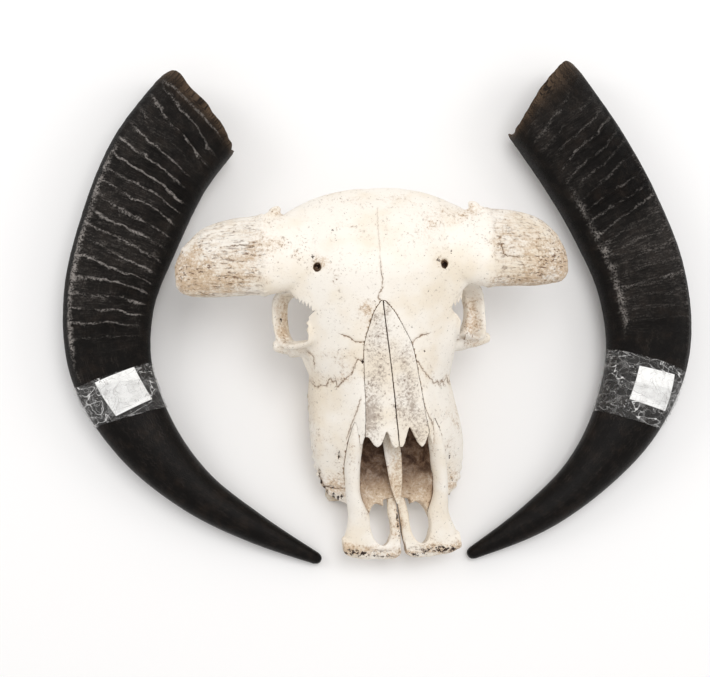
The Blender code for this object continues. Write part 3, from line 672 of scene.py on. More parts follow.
# The thin bone over each eye has broken away along a jagged edge, so these outlines are cut from it.
BROW_BREAKS = {
    "left": ((287, 296), (291, 295.6), (293, 298.5), (294.5, 296.8), (296.5, 300.5), (298, 298),
             (299.5, 303), (301.5, 300), (303, 305), (305, 301.5), (306.5, 307), (308.5, 303), (309.5, 309),
             (311.5, 305.5), (312, 311), (315.5, 310.5), (311, 314.5), (308.5, 317), (309, 320), (306, 323),
             (308.5, 326), (306.5, 330), (308.5, 335), (308, 341), (303, 343), (298, 330), (292, 310)),
    "right": ((476, 289), (472, 293), (471.5, 291), (469, 296), (468, 293), (465.5, 298.5), (464.5, 295),
              (462, 301), (460.5, 297.5), (458.5, 303.5), (457, 300), (455.5, 306), (453.5, 303),
              (451.5, 307.5), (454, 312), (457, 314.5), (459.5, 318), (461, 321), (460.5, 325), (460, 331),
              (459, 338), (465, 340), (468, 325), (470, 308), (476, 298)),
}
BROW_BREAK_LEVELS = (112.0, 206.0)
print(len(SEAMS), "seams,", len(STAINS), "stains,", len(DARK_SPOTS), "dark spots")

# %% [markdown]
# ### Building the cranium
#
# The forms are joined and cut with exact booleans, grown together with voxels of 2 mm, and then sculpted.
# Finer voxels would keep the raw joins sharp. These are small enough for the thin edges and leave soft,
# bony joins.

# %% Join the forms
LIP_TURN = -35
ORBIT_OUTSIDE = 21.0


def cranium_forms():
    home = new_collection("cranium forms")
    for side in (-1, 1):
        core = [(x if x < CORE_START else CORE_START + (x - CORE_START) * CORE_REACH[side], *rest)
                for x, *rest in CORE_SECTIONS]
        limb("horn_core", core, side, home, sides=36, flat=2.3)
        reach = (ORBIT_CENTRE[side][0] + ORBIT_OUTSIDE) / CHEEK_CORNER[-1][0]
        limb("cheek_corner", [(x * reach, *rest) for x, *rest in CHEEK_CORNER], side, home)
        limb("cheek_bar", CHEEK_BAR, side, home)
        limb("face_crest", FACE_CREST, side, home)
        limb("neck_prong", NECK_PRONG, side, home)
        limb("passage_plate", PASSAGE_PLATE, side, home)
        orbit_ring(side, home)
        lump("neck_joint", (side * 29, 146, 50), (19, 17, 23), home)
        lump("ear_capsule", (side * 46, 98, 38), (13, 20, 18), home)
        lump("core_lip", (side * 119, 133, 161), (9, 5.5, 6), home, turn=side * LIP_TURN)
        lump("core_lip", (side * 127, 127, 166), (5, 4, 4), home, turn=side * LIP_TURN)
    return home


def cranium_hollows():
    home = new_collection("cranium hollows")
    for side in (-1, 1):
        palate_gap(side, home)
        block("front_notch", ((-1, -206), (17, -206), (17, -245), (-1, -245)), 0, 90, home, side)
        lump("brow_hole", (side * 74.5 + 0.5, 61, 190), (5.0, 5.4, 20), home)
        lump("cheek_hole", (side * 66, -152, 78), (2.2, 8, 14), home, turn=side * -12)
    tunnel("nose_hollow", NOSE_HOLLOW, home)
    tunnel("throat_hollow", THROAT_HOLLOW, home)
    lump("neck_hole", (0, 150, 68), (18, 60, 17), home)
    return home


cranium = skin("cranium_bone", head_rings())
fuse(cranium, cranium_forms(), cranium_hollows(), voxel=2.0, smooth_steps=3)
print("cranium:", len(cranium.data.vertices), "vertices")

# %% [markdown]
# ### Sculpting the cranium
#
# Bone is never even. The forehead rolls gently, the cores are fluted along their length and full of pits,
# and the tooth sockets show as ribs under the cheek. The seams and cracks become grooves. A bump map alone
# would leave the outline of the cores smooth, so all of this moves the mesh.

# %% Sculpt
FLUTE_HEIGHT, PIT_DEPTH, CORE_END_ROUGHNESS = 1.0, 1.6, 1.2
SOCKET_RIB, SOCKET_SPACING, SOCKET_ROUGHNESS = 1.3, 11.5, 0.8
SEAM_DEPTH, SEAM_HALF_WIDTH, SPOT_DEPTH = 1.1, 1.0, 2.4


def core_share(at):
    """1 on a horn core and 0 on the rest of the head, with a soft start."""
    return ramp(np.abs(at[:, 0]), 122, 150) * (at[:, 1] > 25) * (at[:, 2] > 100)


def socket_share(at):
    """1 over the tooth sockets, along the lower edge of the cheek."""
    return (ramp(np.abs(at[:, 0]), 66, 74) * (1 - ramp(at[:, 2], 38, 58)) * ramp(-at[:, 1], 60, 75)
            * (1 - ramp(-at[:, 1], 190, 205)))


def sculpt_cranium(obj):
    at = skull_places(obj)
    core = core_share(at)
    lift = 0.8 * grain(at, 30, 1, 2) + 0.22 * grain(at, 7, 2, 2)
    flutes = grain(at * (0.10, 1, 1), 6.0, 3, 3)
    holes = grain(at * (0.35, 1, 1), 4.5, 4, 2)
    lift += core * (FLUTE_HEIGHT * flutes - PIT_DEPTH * ramp(holes, 0.35, 0.8))
    lift += core * CORE_END_ROUGHNESS * ramp(np.abs(at[:, 0]), 190, 235) * grain(at, 9, 5, 2)
    ribs = SOCKET_RIB * np.cos(at[:, 1] * 2 * np.pi / SOCKET_SPACING)
    lift += socket_share(at) * (ribs + SOCKET_ROUGHNESS * grain(at, 5, 6, 2))
    edge, strength = seams(obj, SEAMS)
    lift -= SEAM_DEPTH * strength * bell(edge, 0, SEAM_HALF_WIDTH)
    up = facings(obj)[:, 2] > UPWARD
    lift -= SPOT_DEPTH * blots(seen(places(obj)), DARK_SPOTS) * up
    raise_by(obj, lift)


def pocket_cutters(pieces, gap):
    """Copies of the neighbouring bones that stand off by the gap, to cut their places in the cranium."""
    home = new_collection("pockets")
    for piece in pieces:
        copy = new_object(piece.name + "_pocket", piece.data.copy(), home)
        raise_by(copy, np.full(len(copy.data.vertices), gap))
    return home


def brow_break(outline, home):
    """A pocket over an outline in pixels, along the lines of sight between two levels."""
    rays = np.array([ray_through(pixel) for pixel in outline])
    rings = [EYE + rays * ((level * MM - EYE[2]) / rays[:, 2:]) for level in BROW_BREAK_LEVELS]
    return skin("brow_break", np.array(rings), home)


sculpt_cranium(cranium)
print("cranium sculpted")

# %% [markdown]
# ## The nose bones
#
# Two long roof bones lie over the nose and end in splintered points. In front of them the paired snout
# bones hold the oval gaps, and a keel with a trough stands in the middle. They could be part of the cranium
# with seams drawn on it. In the real skull they are loose along open seams, so each is a piece of its own.

# %% Sizes of the nose bones
NASAL_THICKNESS = 6.0
NASAL_PROUD = 1.0
NASAL_STEPS, NASAL_COLUMNS = 8, 9
MIDLINE_GAP = 0.45
NASAL_EDGE = ((19, 2), (8, 11), (-8, 19), (-30, 28), (-60, 31.5), (-100, 35), (-130, 38), (-152, 38.5))
# What is cut from the front of each nasal bone, which leaves its points: (x, y).
NASAL_FRONT = {
    -1: ((-2, -139), (1, -146), (5, -148), (8.5, -143), (12, -129), (14, -128), (17, -135), (21, -143),
         (25, -146), (29, -143), (34, -134), (38, -133), (44, -128), (44, -175), (-2, -175)),
    1: ((-2, -142), (1, -146), (4, -147), (7, -142), (11, -131), (14.5, -123), (18, -131), (23, -142),
        (28, -148), (32, -144), (37, -133), (44, -128), (44, -175), (-2, -175)),
}
SNOUT_SIDE_BAR = ((43.5, -97, 126, 2, 3), (44.5, -114, 119, 4, 4.5), (47, -131, 110, 8, 8),
                  (50.5, -150, 96, 9.5, 11), (53, -168, 81, 9.5, 13), (54, -200, 62, 9, 13),
                  (49, -226, 49, 13.5, 12), (50, -246, 42, 19, 11), (50, -262, 38, 24, 10))
SNOUT_INNER_BAR = ((4, -190, 48.5, 2.8, 3), (5.6, -205, 48, 5.3, 4.5), (6.9, -230, 46, 6.7, 7),
                   (8.2, -250, 42, 8, 8), (14, -264, 38, 12, 9))
SNOUT_FRONT = ((3, -262, 38, 12, 8), (12, -264, 38, 15, 9), (38, -261, 37, 18, 10), (60, -260, 38, 16, 10),
               (73, -260, 39, 10, 7))
VOMER_SECTIONS = ((-70, 6, 84, 62), (-110, 9, 84, 58), (-146, 10.5, 81, 55), (-170, 9.5, 75, 54),
                  (-190, 7.5, 68, 54.5), (-204, 4.5, 63, 55), (-213, 1.8, 60, 56))
NASAL_STAINS = (
    (370, 408, 10, 34, 1.0), (366, 425, 8, 12, 0.9), (372, 340, 9, 28, 0.65), (420, 424, 8, 14, 1.0),
    (404, 360, 9, 20, 0.8), (411, 395, 7, 28, 0.8), (384, 330, 9, 20, 0.45), (398, 405, 7, 24, 0.45),
    (380, 380, 8, 40, 0.3), (392, 350, 8, 40, 0.25),
)
SNOUT_STAINS = (
    (362, 549, 20, 6, 0.8), (346, 551, 6, 7, 0.9), (393, 554, 12, 4, 0.8), (413, 552, 10, 4, 0.9),
    (440, 548, 15, 6, 1.3), (458, 546, 5, 8, 0.9), (397, 515, 10, 26, 0.7), (376, 505, 12, 12, 0.35),
    (353, 450, 5, 22, 0.35), (434, 450, 5, 22, 0.35), (412, 508, 10, 12, 0.35),
)
SNOUT_DARK = (
    (350.5, 551.5, 8, 3, 0.55), (362, 553.5, 8, 2.6, 0.6), (374, 555.5, 6, 2.2, 0.5),
    (388, 556, 9, 2.4, 0.55), (411, 554, 8, 2.6, 0.5), (424.5, 551.5, 7, 3, 0.55),
    (441, 549, 11, 3.5, 0.75), (453, 549, 5, 3, 0.6), (397.3, 508, 0.9, 4, 0.9), (397, 516, 0.9, 4, 0.9),
    (398, 524, 0.9, 4, 0.9), (399.3, 532, 0.9, 4, 0.8),
)
print("the side bar has", len(SNOUT_SIDE_BAR), "sections, the keel", len(VOMER_SECTIONS))

# %% Build the nose bones


def build_nasal(side):
    """A long arched plate whose front is cut to points."""
    name = "nasal_bone_left" if side < 0 else "nasal_bone_right"
    roof_y, roof_z = np.array(ROOF_LINE, float).T
    rings = []
    for y, edge in curve(NASAL_EDGE, NASAL_STEPS):
        ridge = np.interp(-y, -roof_y, roof_z) + NASAL_PROUD
        x = np.linspace(MIDLINE_GAP, edge, NASAL_COLUMNS)
        top = np.stack((side * x, np.full(NASAL_COLUMNS, y), ridge - FACE_ROOF_ARCH * x * x), -1)
        rings.append(np.concatenate((top, (top - (0, 0, NASAL_THICKNESS))[::-1])))
    cut = new_collection("nasal front")
    block("front", NASAL_FRONT[side], 90, 165, cut, side)
    return fuse(skin(name, place(rings)), None, cut, voxel=0.9, smooth_steps=2)


def build_snout_bone(side):
    """A side bar, an inner bar and a broad front end round the oval gap."""
    name = "snout_bone_left" if side < 0 else "snout_bone_right"
    forms, gaps = new_collection("snout forms"), new_collection("snout gaps")
    palate_gap(side, gaps)
    limb("inner_bar", SNOUT_INNER_BAR, side, forms)
    limb("front_end", SNOUT_FRONT, side, forms, flat=2.4)
    return fuse(limb(name, SNOUT_SIDE_BAR, side, None), forms, gaps, voxel=1.2, smooth_steps=4)


def build_vomer():
    """The keel in the middle of the nose, with a trough along its top."""
    rings = []
    for y, half_width, top, bottom in curve(VOMER_SECTIONS, 5):
        lip = half_width * 0.7
        groove = min(4.0, half_width * 0.6)
        profile = ((0, top - groove), (lip, top), (half_width, top - 1.5), (half_width * 0.4, bottom),
                   (-half_width * 0.4, bottom), (-half_width, top - 1.5), (-lip, top))
        rings.append([(x, y, z) for x, z in profile])
    bone = skin("vomer_bone", place(rings))
    grow_together(bone, 1.0, 3)
    return settle(bone)


def roughen_bone(obj, seed):
    """Small unevenness, with broken and porous ends at the front of the snout."""
    at = skull_places(obj)
    lift = 0.35 * grain(at, 14, seed, 2) + 0.16 * grain(at, 4, seed + 1, 2)
    broken = 1.1 * grain(at, 5, seed + 2, 3) - 1.0 * ramp(grain(at, 4, seed + 3, 2), 0.3, 0.7)
    raise_by(obj, lift + ramp(-at[:, 1], 258, 270) * broken)


nasals = [build_nasal(side) for side in (-1, 1)]
snout_bones = [build_snout_bone(side) for side in (-1, 1)]
vomer = build_vomer()
for index, bone in enumerate(nasals + snout_bones + [vomer]):
    roughen_bone(bone, 20 + 5 * index)
    print(bone.name, len(bone.data.vertices), "vertices")

# %% [markdown]
# ### Pockets for the nose bones
#
# The nose bones sit in pockets of the cranium, with open seams round them. Copies of them that stand off by
# the seam's width are cut out of it, and raised copies of the roof bones take away any skin above them. The
# brow breaks are cut in the same step, after the sculpting, so that their edges stay crisp.

# %% Cut the pockets
MOST_TRIANGLES = 190000
SEAM_GAP = 0.5
OPEN_ABOVE = 3.0
pockets = pocket_cutters(nasals + snout_bones, SEAM_GAP)
for bone in nasals:
    above = new_object(bone.name + "_above", bone.data.copy(), pockets)
    move_to(above, places(above) + (0.0, 0.0, OPEN_ABOVE * MM))
for outline in BROW_BREAKS.values():
    brow_break(outline, pockets)
thin_out(cranium, MOST_TRIANGLES)
boolean(cranium, "DIFFERENCE", pockets, solver="MANIFOLD")
settle(cranium)
discard(pockets)
print("cranium with pockets:", len(cranium.data.polygons), "faces")

# %% [markdown]
# ## Cheek teeth
#
# A cheek tooth is a ribbed column of enamel with a worn, cusped face. It could be built from folds of
# enamel, but little more than its outer side is ever seen. So each tooth starts as a copy of its solid,
# which is where it belongs. A fine remesh rounds it, then ribs are pressed into its sides.

# %% Teeth
TOOTH_VOXEL = 0.9
TOOTH_RIB, TOOTH_FOLD, FOLD_SPACING = 0.35, 0.25, 6.2
TOOTH_SHRINK = 0.25


def tooth_copy(name):
    solid = frame["nodes"][name]
    bm = bmesh.new()
    bm.from_mesh(solid.data)
    bmesh.ops.remove_doubles(bm, verts=bm.verts, dist=1e-6)
    tooth = new_object(name + "_crown", mesh_from(bm, name + "_crown"))
    grow_together(tooth, TOOTH_VOXEL, 3)
    settle(tooth)
    at = skull_places(tooth)
    ribs = grain(at * (1, 1, 0.12), 3.2, 41, 2)
    folds = np.cos(at[:, 1] * 2 * np.pi / FOLD_SPACING)
    above_face = ramp(at[:, 2], 1.5, 5.0)
    raise_by(tooth, above_face * (TOOTH_RIB * ribs + TOOTH_FOLD * folds) - TOOTH_SHRINK)
    return tooth


tooth_names = [name for name in sorted(frame["nodes"]) if "molar" in name]
teeth = {name: tooth_copy(name) for name in tooth_names}
print(len(teeth), "teeth,", sum(len(tooth.data.vertices) for tooth in teeth.values()), "vertices")

# %% [markdown]
# ## Painting the bones
#
# Hollows and recesses are painted darker: brown to nearly black as painted shade, and a tan that is partly
# dirt and partly painted shade. An ambient occlusion node could find such places, but the exported
# model would lose it. So a few rays are sent out from each vertex to see how hemmed in it is, and the
# stains seen in the photograph are added to that. The marks are kept as attributes, so they stay on the
# bone.

# %% Rays for the hollows
RAYS = 9
RAY_REACH = 0.045
RAY_START = 0.0012
FIRST_TURN = 3
FAR_HIT_LOSS = 0.6


def rays_around(count):
    """Unit directions spread over a half sphere about +Z, more of them near its top."""
    turn = math.pi * (3 - math.sqrt(5))
    share = (np.arange(count) + 0.5) / count
    radius = np.sqrt(share)
    angle = turn * np.arange(count) + FIRST_TURN
    return np.stack((radius * np.cos(angle), radius * np.sin(angle), np.sqrt(1 - share)), -1)


def tree_of(objects):
    """All the faces of some objects, made ready for rays."""
    vertices, polygons = [], []
    for obj in objects:
        start = len(vertices)
        vertices += [vertex.co.copy() for vertex in obj.data.vertices]
        polygons += [[start + i for i in polygon.vertices] for polygon in obj.data.polygons]
    return BVHTree.FromPolygons(vertices, polygons)


def hemmed_in(tree, target):
    """How much of the view from each vertex of the target is closed nearby, from 0 to 1."""
    at, out = places(target), facings(target)
    helper = np.where(np.abs(out[:, 2:3]) < 0.9, np.array([[0.0, 0.0, 1.0]]), np.array([[1.0, 0.0, 0.0]]))
    side = np.cross(out, helper)
    side = side / np.linalg.norm(side, axis=1, keepdims=True)
    other = np.cross(out, side)
    start = at + out * RAY_START
    closed = np.zeros(len(at))
    for across, along, ahead in rays_around(RAYS):
        directions = side * across + other * along + out * ahead
        for i in range(len(at)):
            hit = tree.ray_cast(start[i], directions[i], RAY_REACH)[3]
            if hit is not None:
                closed[i] += 1 - FAR_HIT_LOSS * hit / RAY_REACH
    return closed / RAYS


bones = [cranium, vomer] + nasals + snout_bones
bone_tree = tree_of(bones)
closeness = {piece.name: hemmed_in(bone_tree, piece)
             for piece in bones + list(teeth.values())}
print("most hemmed in:", {name: round(float(values.max()), 2) for name, values in closeness.items()})

# %% Paint the marks
NOSE_HALF_WIDTH = 50
FRONT_POROUS = 0.7


def paint_bone(obj, spots, lines, dark=(), porous=0.0, seed=60, deep=0.0):
    """All the marks that the bone material reads, some of them painted shade. With deep, the hollow of the
    nose gets painted shade too.
    """
    at = skull_places(obj)
    pixels = seen(places(obj))
    facing = facings(obj)
    up = ramp(facing @ -sight, -0.02, 0.18)
    patchy = grain(at, 16, seed, 4)
    stain_and_shade = blots(pixels, spots) * up * (0.85 + 0.5 * patchy)
    # More tan in patches and on faces turned away from the camera, and tan where the bone is hemmed in,
    # partly dirt and partly painted shade.
    stain_and_shade += 0.16 * ramp(patchy, 0.1, 0.9) + 0.3 * (1 - up) * (0.6 + 0.5 * patchy)
    stain_and_shade += 1.2 * ramp(closeness[obj.name], 0.34, 0.85)
    stain_and_shade += 0.2 * porous
    # Inside the nose: more tan from the front inwards, and painted shade that darkens further in under the
    # roof bones.
    in_nose = (at[:, 1] < -60) * (at[:, 2] < 108) * (facing[:, 2] > -0.4) * deep
    in_nose = in_nose * ramp(NOSE_HALF_WIDTH - np.abs(at[:, 0]), 0, 3)
    nose = in_nose * ramp(at[:, 1] + 6 * patchy, -216, -158)
    stain_and_shade += in_nose * ramp(at[:, 1], -245, -205)
    paint(obj, "stain_and_shade", np.clip(stain_and_shade, 0, 1.5))
    edge, strength = seams(obj, lines)
    paint(obj, "seam", np.clip(edge, -8, 8))
    paint(obj, "seam_strength", strength)
    torn = 0.9 + 0.8 * grain(at, 3.5, seed + 5, 2)
    paint(obj, "spot", np.clip(blots(pixels, dark) * up * torn, 0, 1.2))
    paint(obj, "porous", np.zeros(len(at)) + porous)
    # The hollow mark is painted shade, brown to nearly black, where the bone is hemmed in and inside the
    # nose.
    paint(obj, "hollow", np.maximum(ramp(closeness[obj.name], 0.45, 0.95), nose))


def front_of_snout(obj):
    return ramp(-skull_places(obj)[:, 1], 260, 269) * FRONT_POROUS


paint_bone(cranium, STAINS, SEAMS, DARK_SPOTS, porous=core_share(skull_places(cranium)), deep=1.0)
for bone in nasals:
    paint_bone(bone, NASAL_STAINS, (), seed=61)
for bone in snout_bones:
    paint_bone(bone, SNOUT_STAINS, (), SNOUT_DARK, porous=front_of_snout(bone), seed=62)
paint_bone(vomer, ((397, 470, 14, 60, 0.8),), (), seed=63)
for tooth in teeth.values():
    at = skull_places(tooth)
    streaks = 0.5 * ramp(grain(at * (1, 1, 0.35), 4, 71, 3), -0.1, 0.6)
    paint(tooth, "root", ramp(at[:, 2] + 2.5 * grain(at, 7, 70, 2), 13, 24))
    # Grime streaks, and painted shade where bone hems the tooth in.
    paint(tooth, "grime_and_shade", np.clip(streaks + ramp(closeness[tooth.name], 0.3, 0.9), 0, 1))
print("painted", len(bones), "bones and", len(teeth), "teeth")

# %% [markdown]
# ## Horn sheaths
#
# A sheath is a hollow, tapering curve of horn. Its base half is wrinkled across by growth ridges that slant
# with the torn rim, beads run along it, and its tip is worn smooth. A curve with a bevel would give one
# round section without wrinkles. So the shape is a function of the share of the length and of the angle
# round it, and the same function later lays the label and the tape on it.

# %% Sizes of the sheaths
SHEATH_WALL = 7.0
RIM_WALL = 3.0
HOLLOW_SHARE = 0.42
MIDDLE_LIFT = 5.0
SHEATH_LENGTH = 715.0
LEFT_SHEATH = ((-239, 235, 131), (-286, 167, 131), (-320, 84, 125), (-344, -3, 112), (-340, -91, 100),
               (-300, -172, 80), (-239, -237, 56), (-163, -285, 37), (-78, -326, 13))
RIGHT_SHEATH = ((207.9, 266.6, 124), (256.9, 194.7, 125), (300.7, 116, 122), (333.5, 30.7, 117),
                (340, -59, 108), (312, -144, 88), (259, -218, 60), (189, -275, 40), (108, -320, 14))
RIM_SLANT = {"left": 17.0, "right": 18.0}
RIM_FLAKE = {"left": (58.0, 20.0, 11.0), "right": (62.0, 28.0, 14.0)}
INNER_BEAD = {"left": 0.35, "right": 1.0}
RIM_CORNERS = ((12.0, 120, 20), (8.0, 158, 16))
THICKNESS_SHARE = (0.62, 0.60, 0.58, 0.58, 0.60, 0.66, 0.76, 0.86, 0.95)
BASE_SQUARENESS = 0.7
HORN_RADIUS, RING_RADIUS = 45.0, 30
RUN_STEP = 0.01


def along(points, share):
    """The smooth curve through the points, at many shares of its length at once."""
    points = np.asarray(points, float)
    last = len(points) - 1
    spot = np.clip(share, 0.0, 1.0) * last
    i = np.minimum(spot.astype(int), last - 1)
    four = (points[np.clip(i + k, 0, last)] for k in (-1, 0, 1, 2))
    return between(*four, (spot - i)[..., None])


class Sheath:
    """The shape of one horn sheath. Angle 0 is its outer curve and 90 degrees its top."""

    def __init__(self, hand, stations, outer_side):
        self.hand = hand
        self.slant = RIM_SLANT[hand]
        self.outer_side = outer_side
        self.stations = [(x, y, width, share) for (x, y, width), share in zip(stations, THICKNESS_SHARE)]

    def at(self, s):
        """The middle of the horn at the share s, and its half width and half height there."""
        x, y, width, share = np.moveaxis(along(self.stations, s), -1, 0)
        half_height = width * share / 2
        lift = MIDDLE_LIFT * np.sin(np.pi * np.clip(s, 0.0, 1.0))
        return np.stack((x, y, half_height + lift), -1), width / 2, half_height

    def point(self, s, angle, grow, slide=0.0):
        """Millimetre places on the skin, for arrays of shares and angles."""
        s, angle, grow, slide = np.broadcast_arrays(np.asarray(s, float), angle, grow, slide)
        centre, half_width, half_height = self.at(s)
        run = self.at(np.minimum(s + RUN_STEP, 1.0))[0] - self.at(np.maximum(s - RUN_STEP, 0.0))[0]
        run[..., 2] = 0.0
        run = run / np.linalg.norm(run, axis=-1, keepdims=True)
        outward = np.stack((-run[..., 1], run[..., 0], np.zeros(s.shape)), -1) * self.outer_side
        power = 2.0 + BASE_SQUARENESS * np.maximum(0.0, 1.0 - s * 1.4)
        across = rounded(np.cos(angle), power)
        upward = rounded(np.sin(angle), power)
        return (centre + outward * ((half_width + grow) * across)[..., None]
                + np.array((0, 0, 1.0)) * ((half_height + grow) * upward)[..., None] + run * slide[..., None])

    def tear(self, angle):
        """How far the broken rim falls short at each angle."""
        middle, width, reach = RIM_FLAKE[self.hand]
        degrees = np.degrees(angle)
        flake = reach * bell(degrees, middle, width)
        ring = np.stack((np.cos(angle) * 40, np.sin(angle) * 40, np.full(angle.shape, 7.0)), -1)
        chips = 1.6 * grain(ring, 8, 80 + len(self.hand), 3)
        corner = sum(height * bell(degrees, centre, spread) for height, centre, spread in RIM_CORNERS)
        ragged = 5.0 * np.sin(3 * angle + 0.6) + 3.0 * np.sin(7 * angle) + chips
        return ragged - self.slant * np.cos(angle) - flake - corner


sheaths = {"left": Sheath("left", LEFT_SHEATH, -1), "right": Sheath("right", RIGHT_SHEATH, 1)}
half_way = {hand: sheath.at(np.array([0.5]))[0][0].round() for hand, sheath in sheaths.items()}
print("half way along, mm:", half_way)

# %% [markdown]
# ### Ridges, beads and wrinkles
#
# The ridges could be rings of equal height. The real ones wander, fade at both ends and run only over the
# top and, more weakly, the underside. So they are a wave along the horn whose phase wanders and whose
# height comes and goes. The phase is also handed to the material, which paints the crests light exactly on
# the waves' tops, with dust and a painted highlight.

# %% Ridges, beads and flutes of the horn
RIDGE_SPACING = 17.0
RIDGE_HEIGHT = {"left": 4.6, "right": 3.6}
RIDGED_SHARE = 0.50
# How strongly each horn's crests are painted light, with dust and a painted highlight.
CREST_DUST_AND_HIGHLIGHT = {"left": 1.0, "right": 0.38}
OUTER_BEAD, INNER_BEAD_PLACE = (37, 5.5), (131, 7.0)
OUTER_BEAD_HEIGHT, INNER_BEAD_HEIGHT, RIM_LINE_HEIGHT, ROLL_HEIGHT = 1.5, 1.7, 0.9, 0.35
RIM_LINE_SHARE = 0.026


def ridge_zones(s, degrees):
    """How much of the ridges stands on the top, on the underside and this far along."""
    top = ramp(degrees, 32, 44) * (1 - ramp(degrees, 118, 152))
    under = 0.55 * ramp(degrees, 205, 230) * (1 - ramp(degrees, 305, 330))
    ends = ramp(s, 0.012, 0.07) * (1 - ramp(s, RIDGED_SHARE - 0.12, RIDGED_SHARE))
    return top, under, ends


def horn_relief(sheath, s, angle):
    """How far the skin stands out, and the marks that the horn material draws the crests with: dust and a
    painted highlight on the crests and bead ridges, and a grey film of dust and painted sheen.
    """
    degrees = np.degrees(angle)
    slant = sheath.slant / SHEATH_LENGTH * np.cos(angle) * (1 - ramp(s, 0.10, 0.5))
    run = (s + slant) * SHEATH_LENGTH
    seed = 90 + 7 * len(sheath.hand)
    flat = np.stack((run, angle * HORN_RADIUS, np.full(s.shape, 3.0)), -1)
    wander = grain(flat * (1, 0.55, 1), 34, seed, 2)
    phase = 2 * np.pi * run / RIDGE_SPACING + 2.0 * wander
    sway = phase + 0.9 * np.sin(phase)
    crest = (0.5 + 0.5 * np.cos(sway)) ** 2.6
    uneven = np.clip(0.78 + 0.95 * grain(flat * (1, 0.42, 1), 24, seed + 1, 2), 0.08, 1.3)
    top, under, ends = ridge_zones(s, degrees)
    zone = (top + under) * ends
    ridges = RIDGE_HEIGHT[sheath.hand] * zone * uneven * (crest - 0.30)
    wrinkles = grain(flat * (1, 0.22, 1), 5.0, seed + 2, 3)
    wrinkles = 0.8 * wrinkles * (0.35 + 0.65 * np.clip(top + under, 0, 1)) * (1 - ramp(s, 0.42, 0.58))
    lumps = grain(flat, 12, seed + 3, 2)
    bead_run = ramp(s, 0.10, 0.18) * (1 - ramp(s, 0.44, 0.56))
    outer_bead = bell(degrees, *OUTER_BEAD) * bead_run * (1.0 + 0.5 * lumps)
    middle, width = INNER_BEAD_PLACE
    inner_bead = (INNER_BEAD[sheath.hand] * bell(degrees - middle + 5 * lumps, 0, width)
                  * ramp(s, 0.14, 0.22) * (1 - ramp(s, 0.40, 0.54)) * (0.8 + 0.8 * lumps))
    roll = grain(flat * (0.35, 1, 1), 26, seed + 4, 2)
    rim_line = top * bell(s - RIM_LINE_SHARE - 0.003 * lumps, 0, 0.003)
    relief = (ridges + wrinkles + OUTER_BEAD_HEIGHT * outer_bead + INNER_BEAD_HEIGHT * inner_bead
              + RIM_LINE_HEIGHT * rim_line + ROLL_HEIGHT * roll * (1 - ramp(s, 0.9, 1.0)))
    # Dust and a painted highlight on the crests and beads, and a haze of dust and painted sheen over the
    # ridged part.
    dust_and_highlight_strength = CREST_DUST_AND_HIGHLIGHT[sheath.hand]
    haze_and_sheen = np.clip(zone, 0, 1) * np.clip(0.45 + 1.1 * grain(flat, 60, seed + 5, 3), 0, 1)
    bead_dust_and_highlight = dust_and_highlight_strength * (0.7 * outer_bead + 0.5 * rim_line) + 0.6 * inner_bead
    share = dust_and_highlight_strength * np.clip(zone * uneven, 0, 1.2)
    return relief, {"ridge_turn": sway, "crest_dust_and_highlight": share, "haze_and_sheen": haze_and_sheen, "bead_dust_and_highlight": bead_dust_and_highlight}


print("the ridges are", RIDGE_SPACING, "mm apart over", RIDGED_SHARE * SHEATH_LENGTH, "mm")

# %% Build the sheaths
ROUND_STEPS = 144
OUTER_STEP = 0.0022
HOLLOW_RINGS = 48
FIRST_TIP_SHARE = 0.985
TIP_RINGS = ((1.0, -5.0), (0.9985, -3.2), (0.995, -1.6), (0.990, -0.6))
TORN_SHARE = 0.06
HOLLOW_END_GAP = 4.0
HORN_MARKS = ("run_mm", "round_x", "round_y")


def hollow_skin(sheath, shares, angle, slide):
    """The inner skin from the torn rim to the blunt end of the hollow."""
    s, a = np.broadcast_arrays(shares[:, None], angle)
    depth = s / HOLLOW_SHARE
    close = 1.0 - np.sqrt(np.maximum(0.0, 1.0 - depth**3))
    half_height = sheath.at(s)[2]
    wall = RIM_WALL + (SHEATH_WALL + 9.0 * depth - RIM_WALL) * ramp(depth, 0.0, 0.2)
    shrink = wall + close * (half_height - wall - HOLLOW_END_GAP)
    ring_place = np.stack((s * SHEATH_LENGTH, np.cos(a) * RING_RADIUS, np.sin(a) * RING_RADIUS), -1)
    rough = 0.5 * grain(ring_place * (0.3, 1, 1), 8, 99, 2)
    return sheath.point(s, a, -shrink + rough * ramp(depth, 0, 0.1), slide(s))


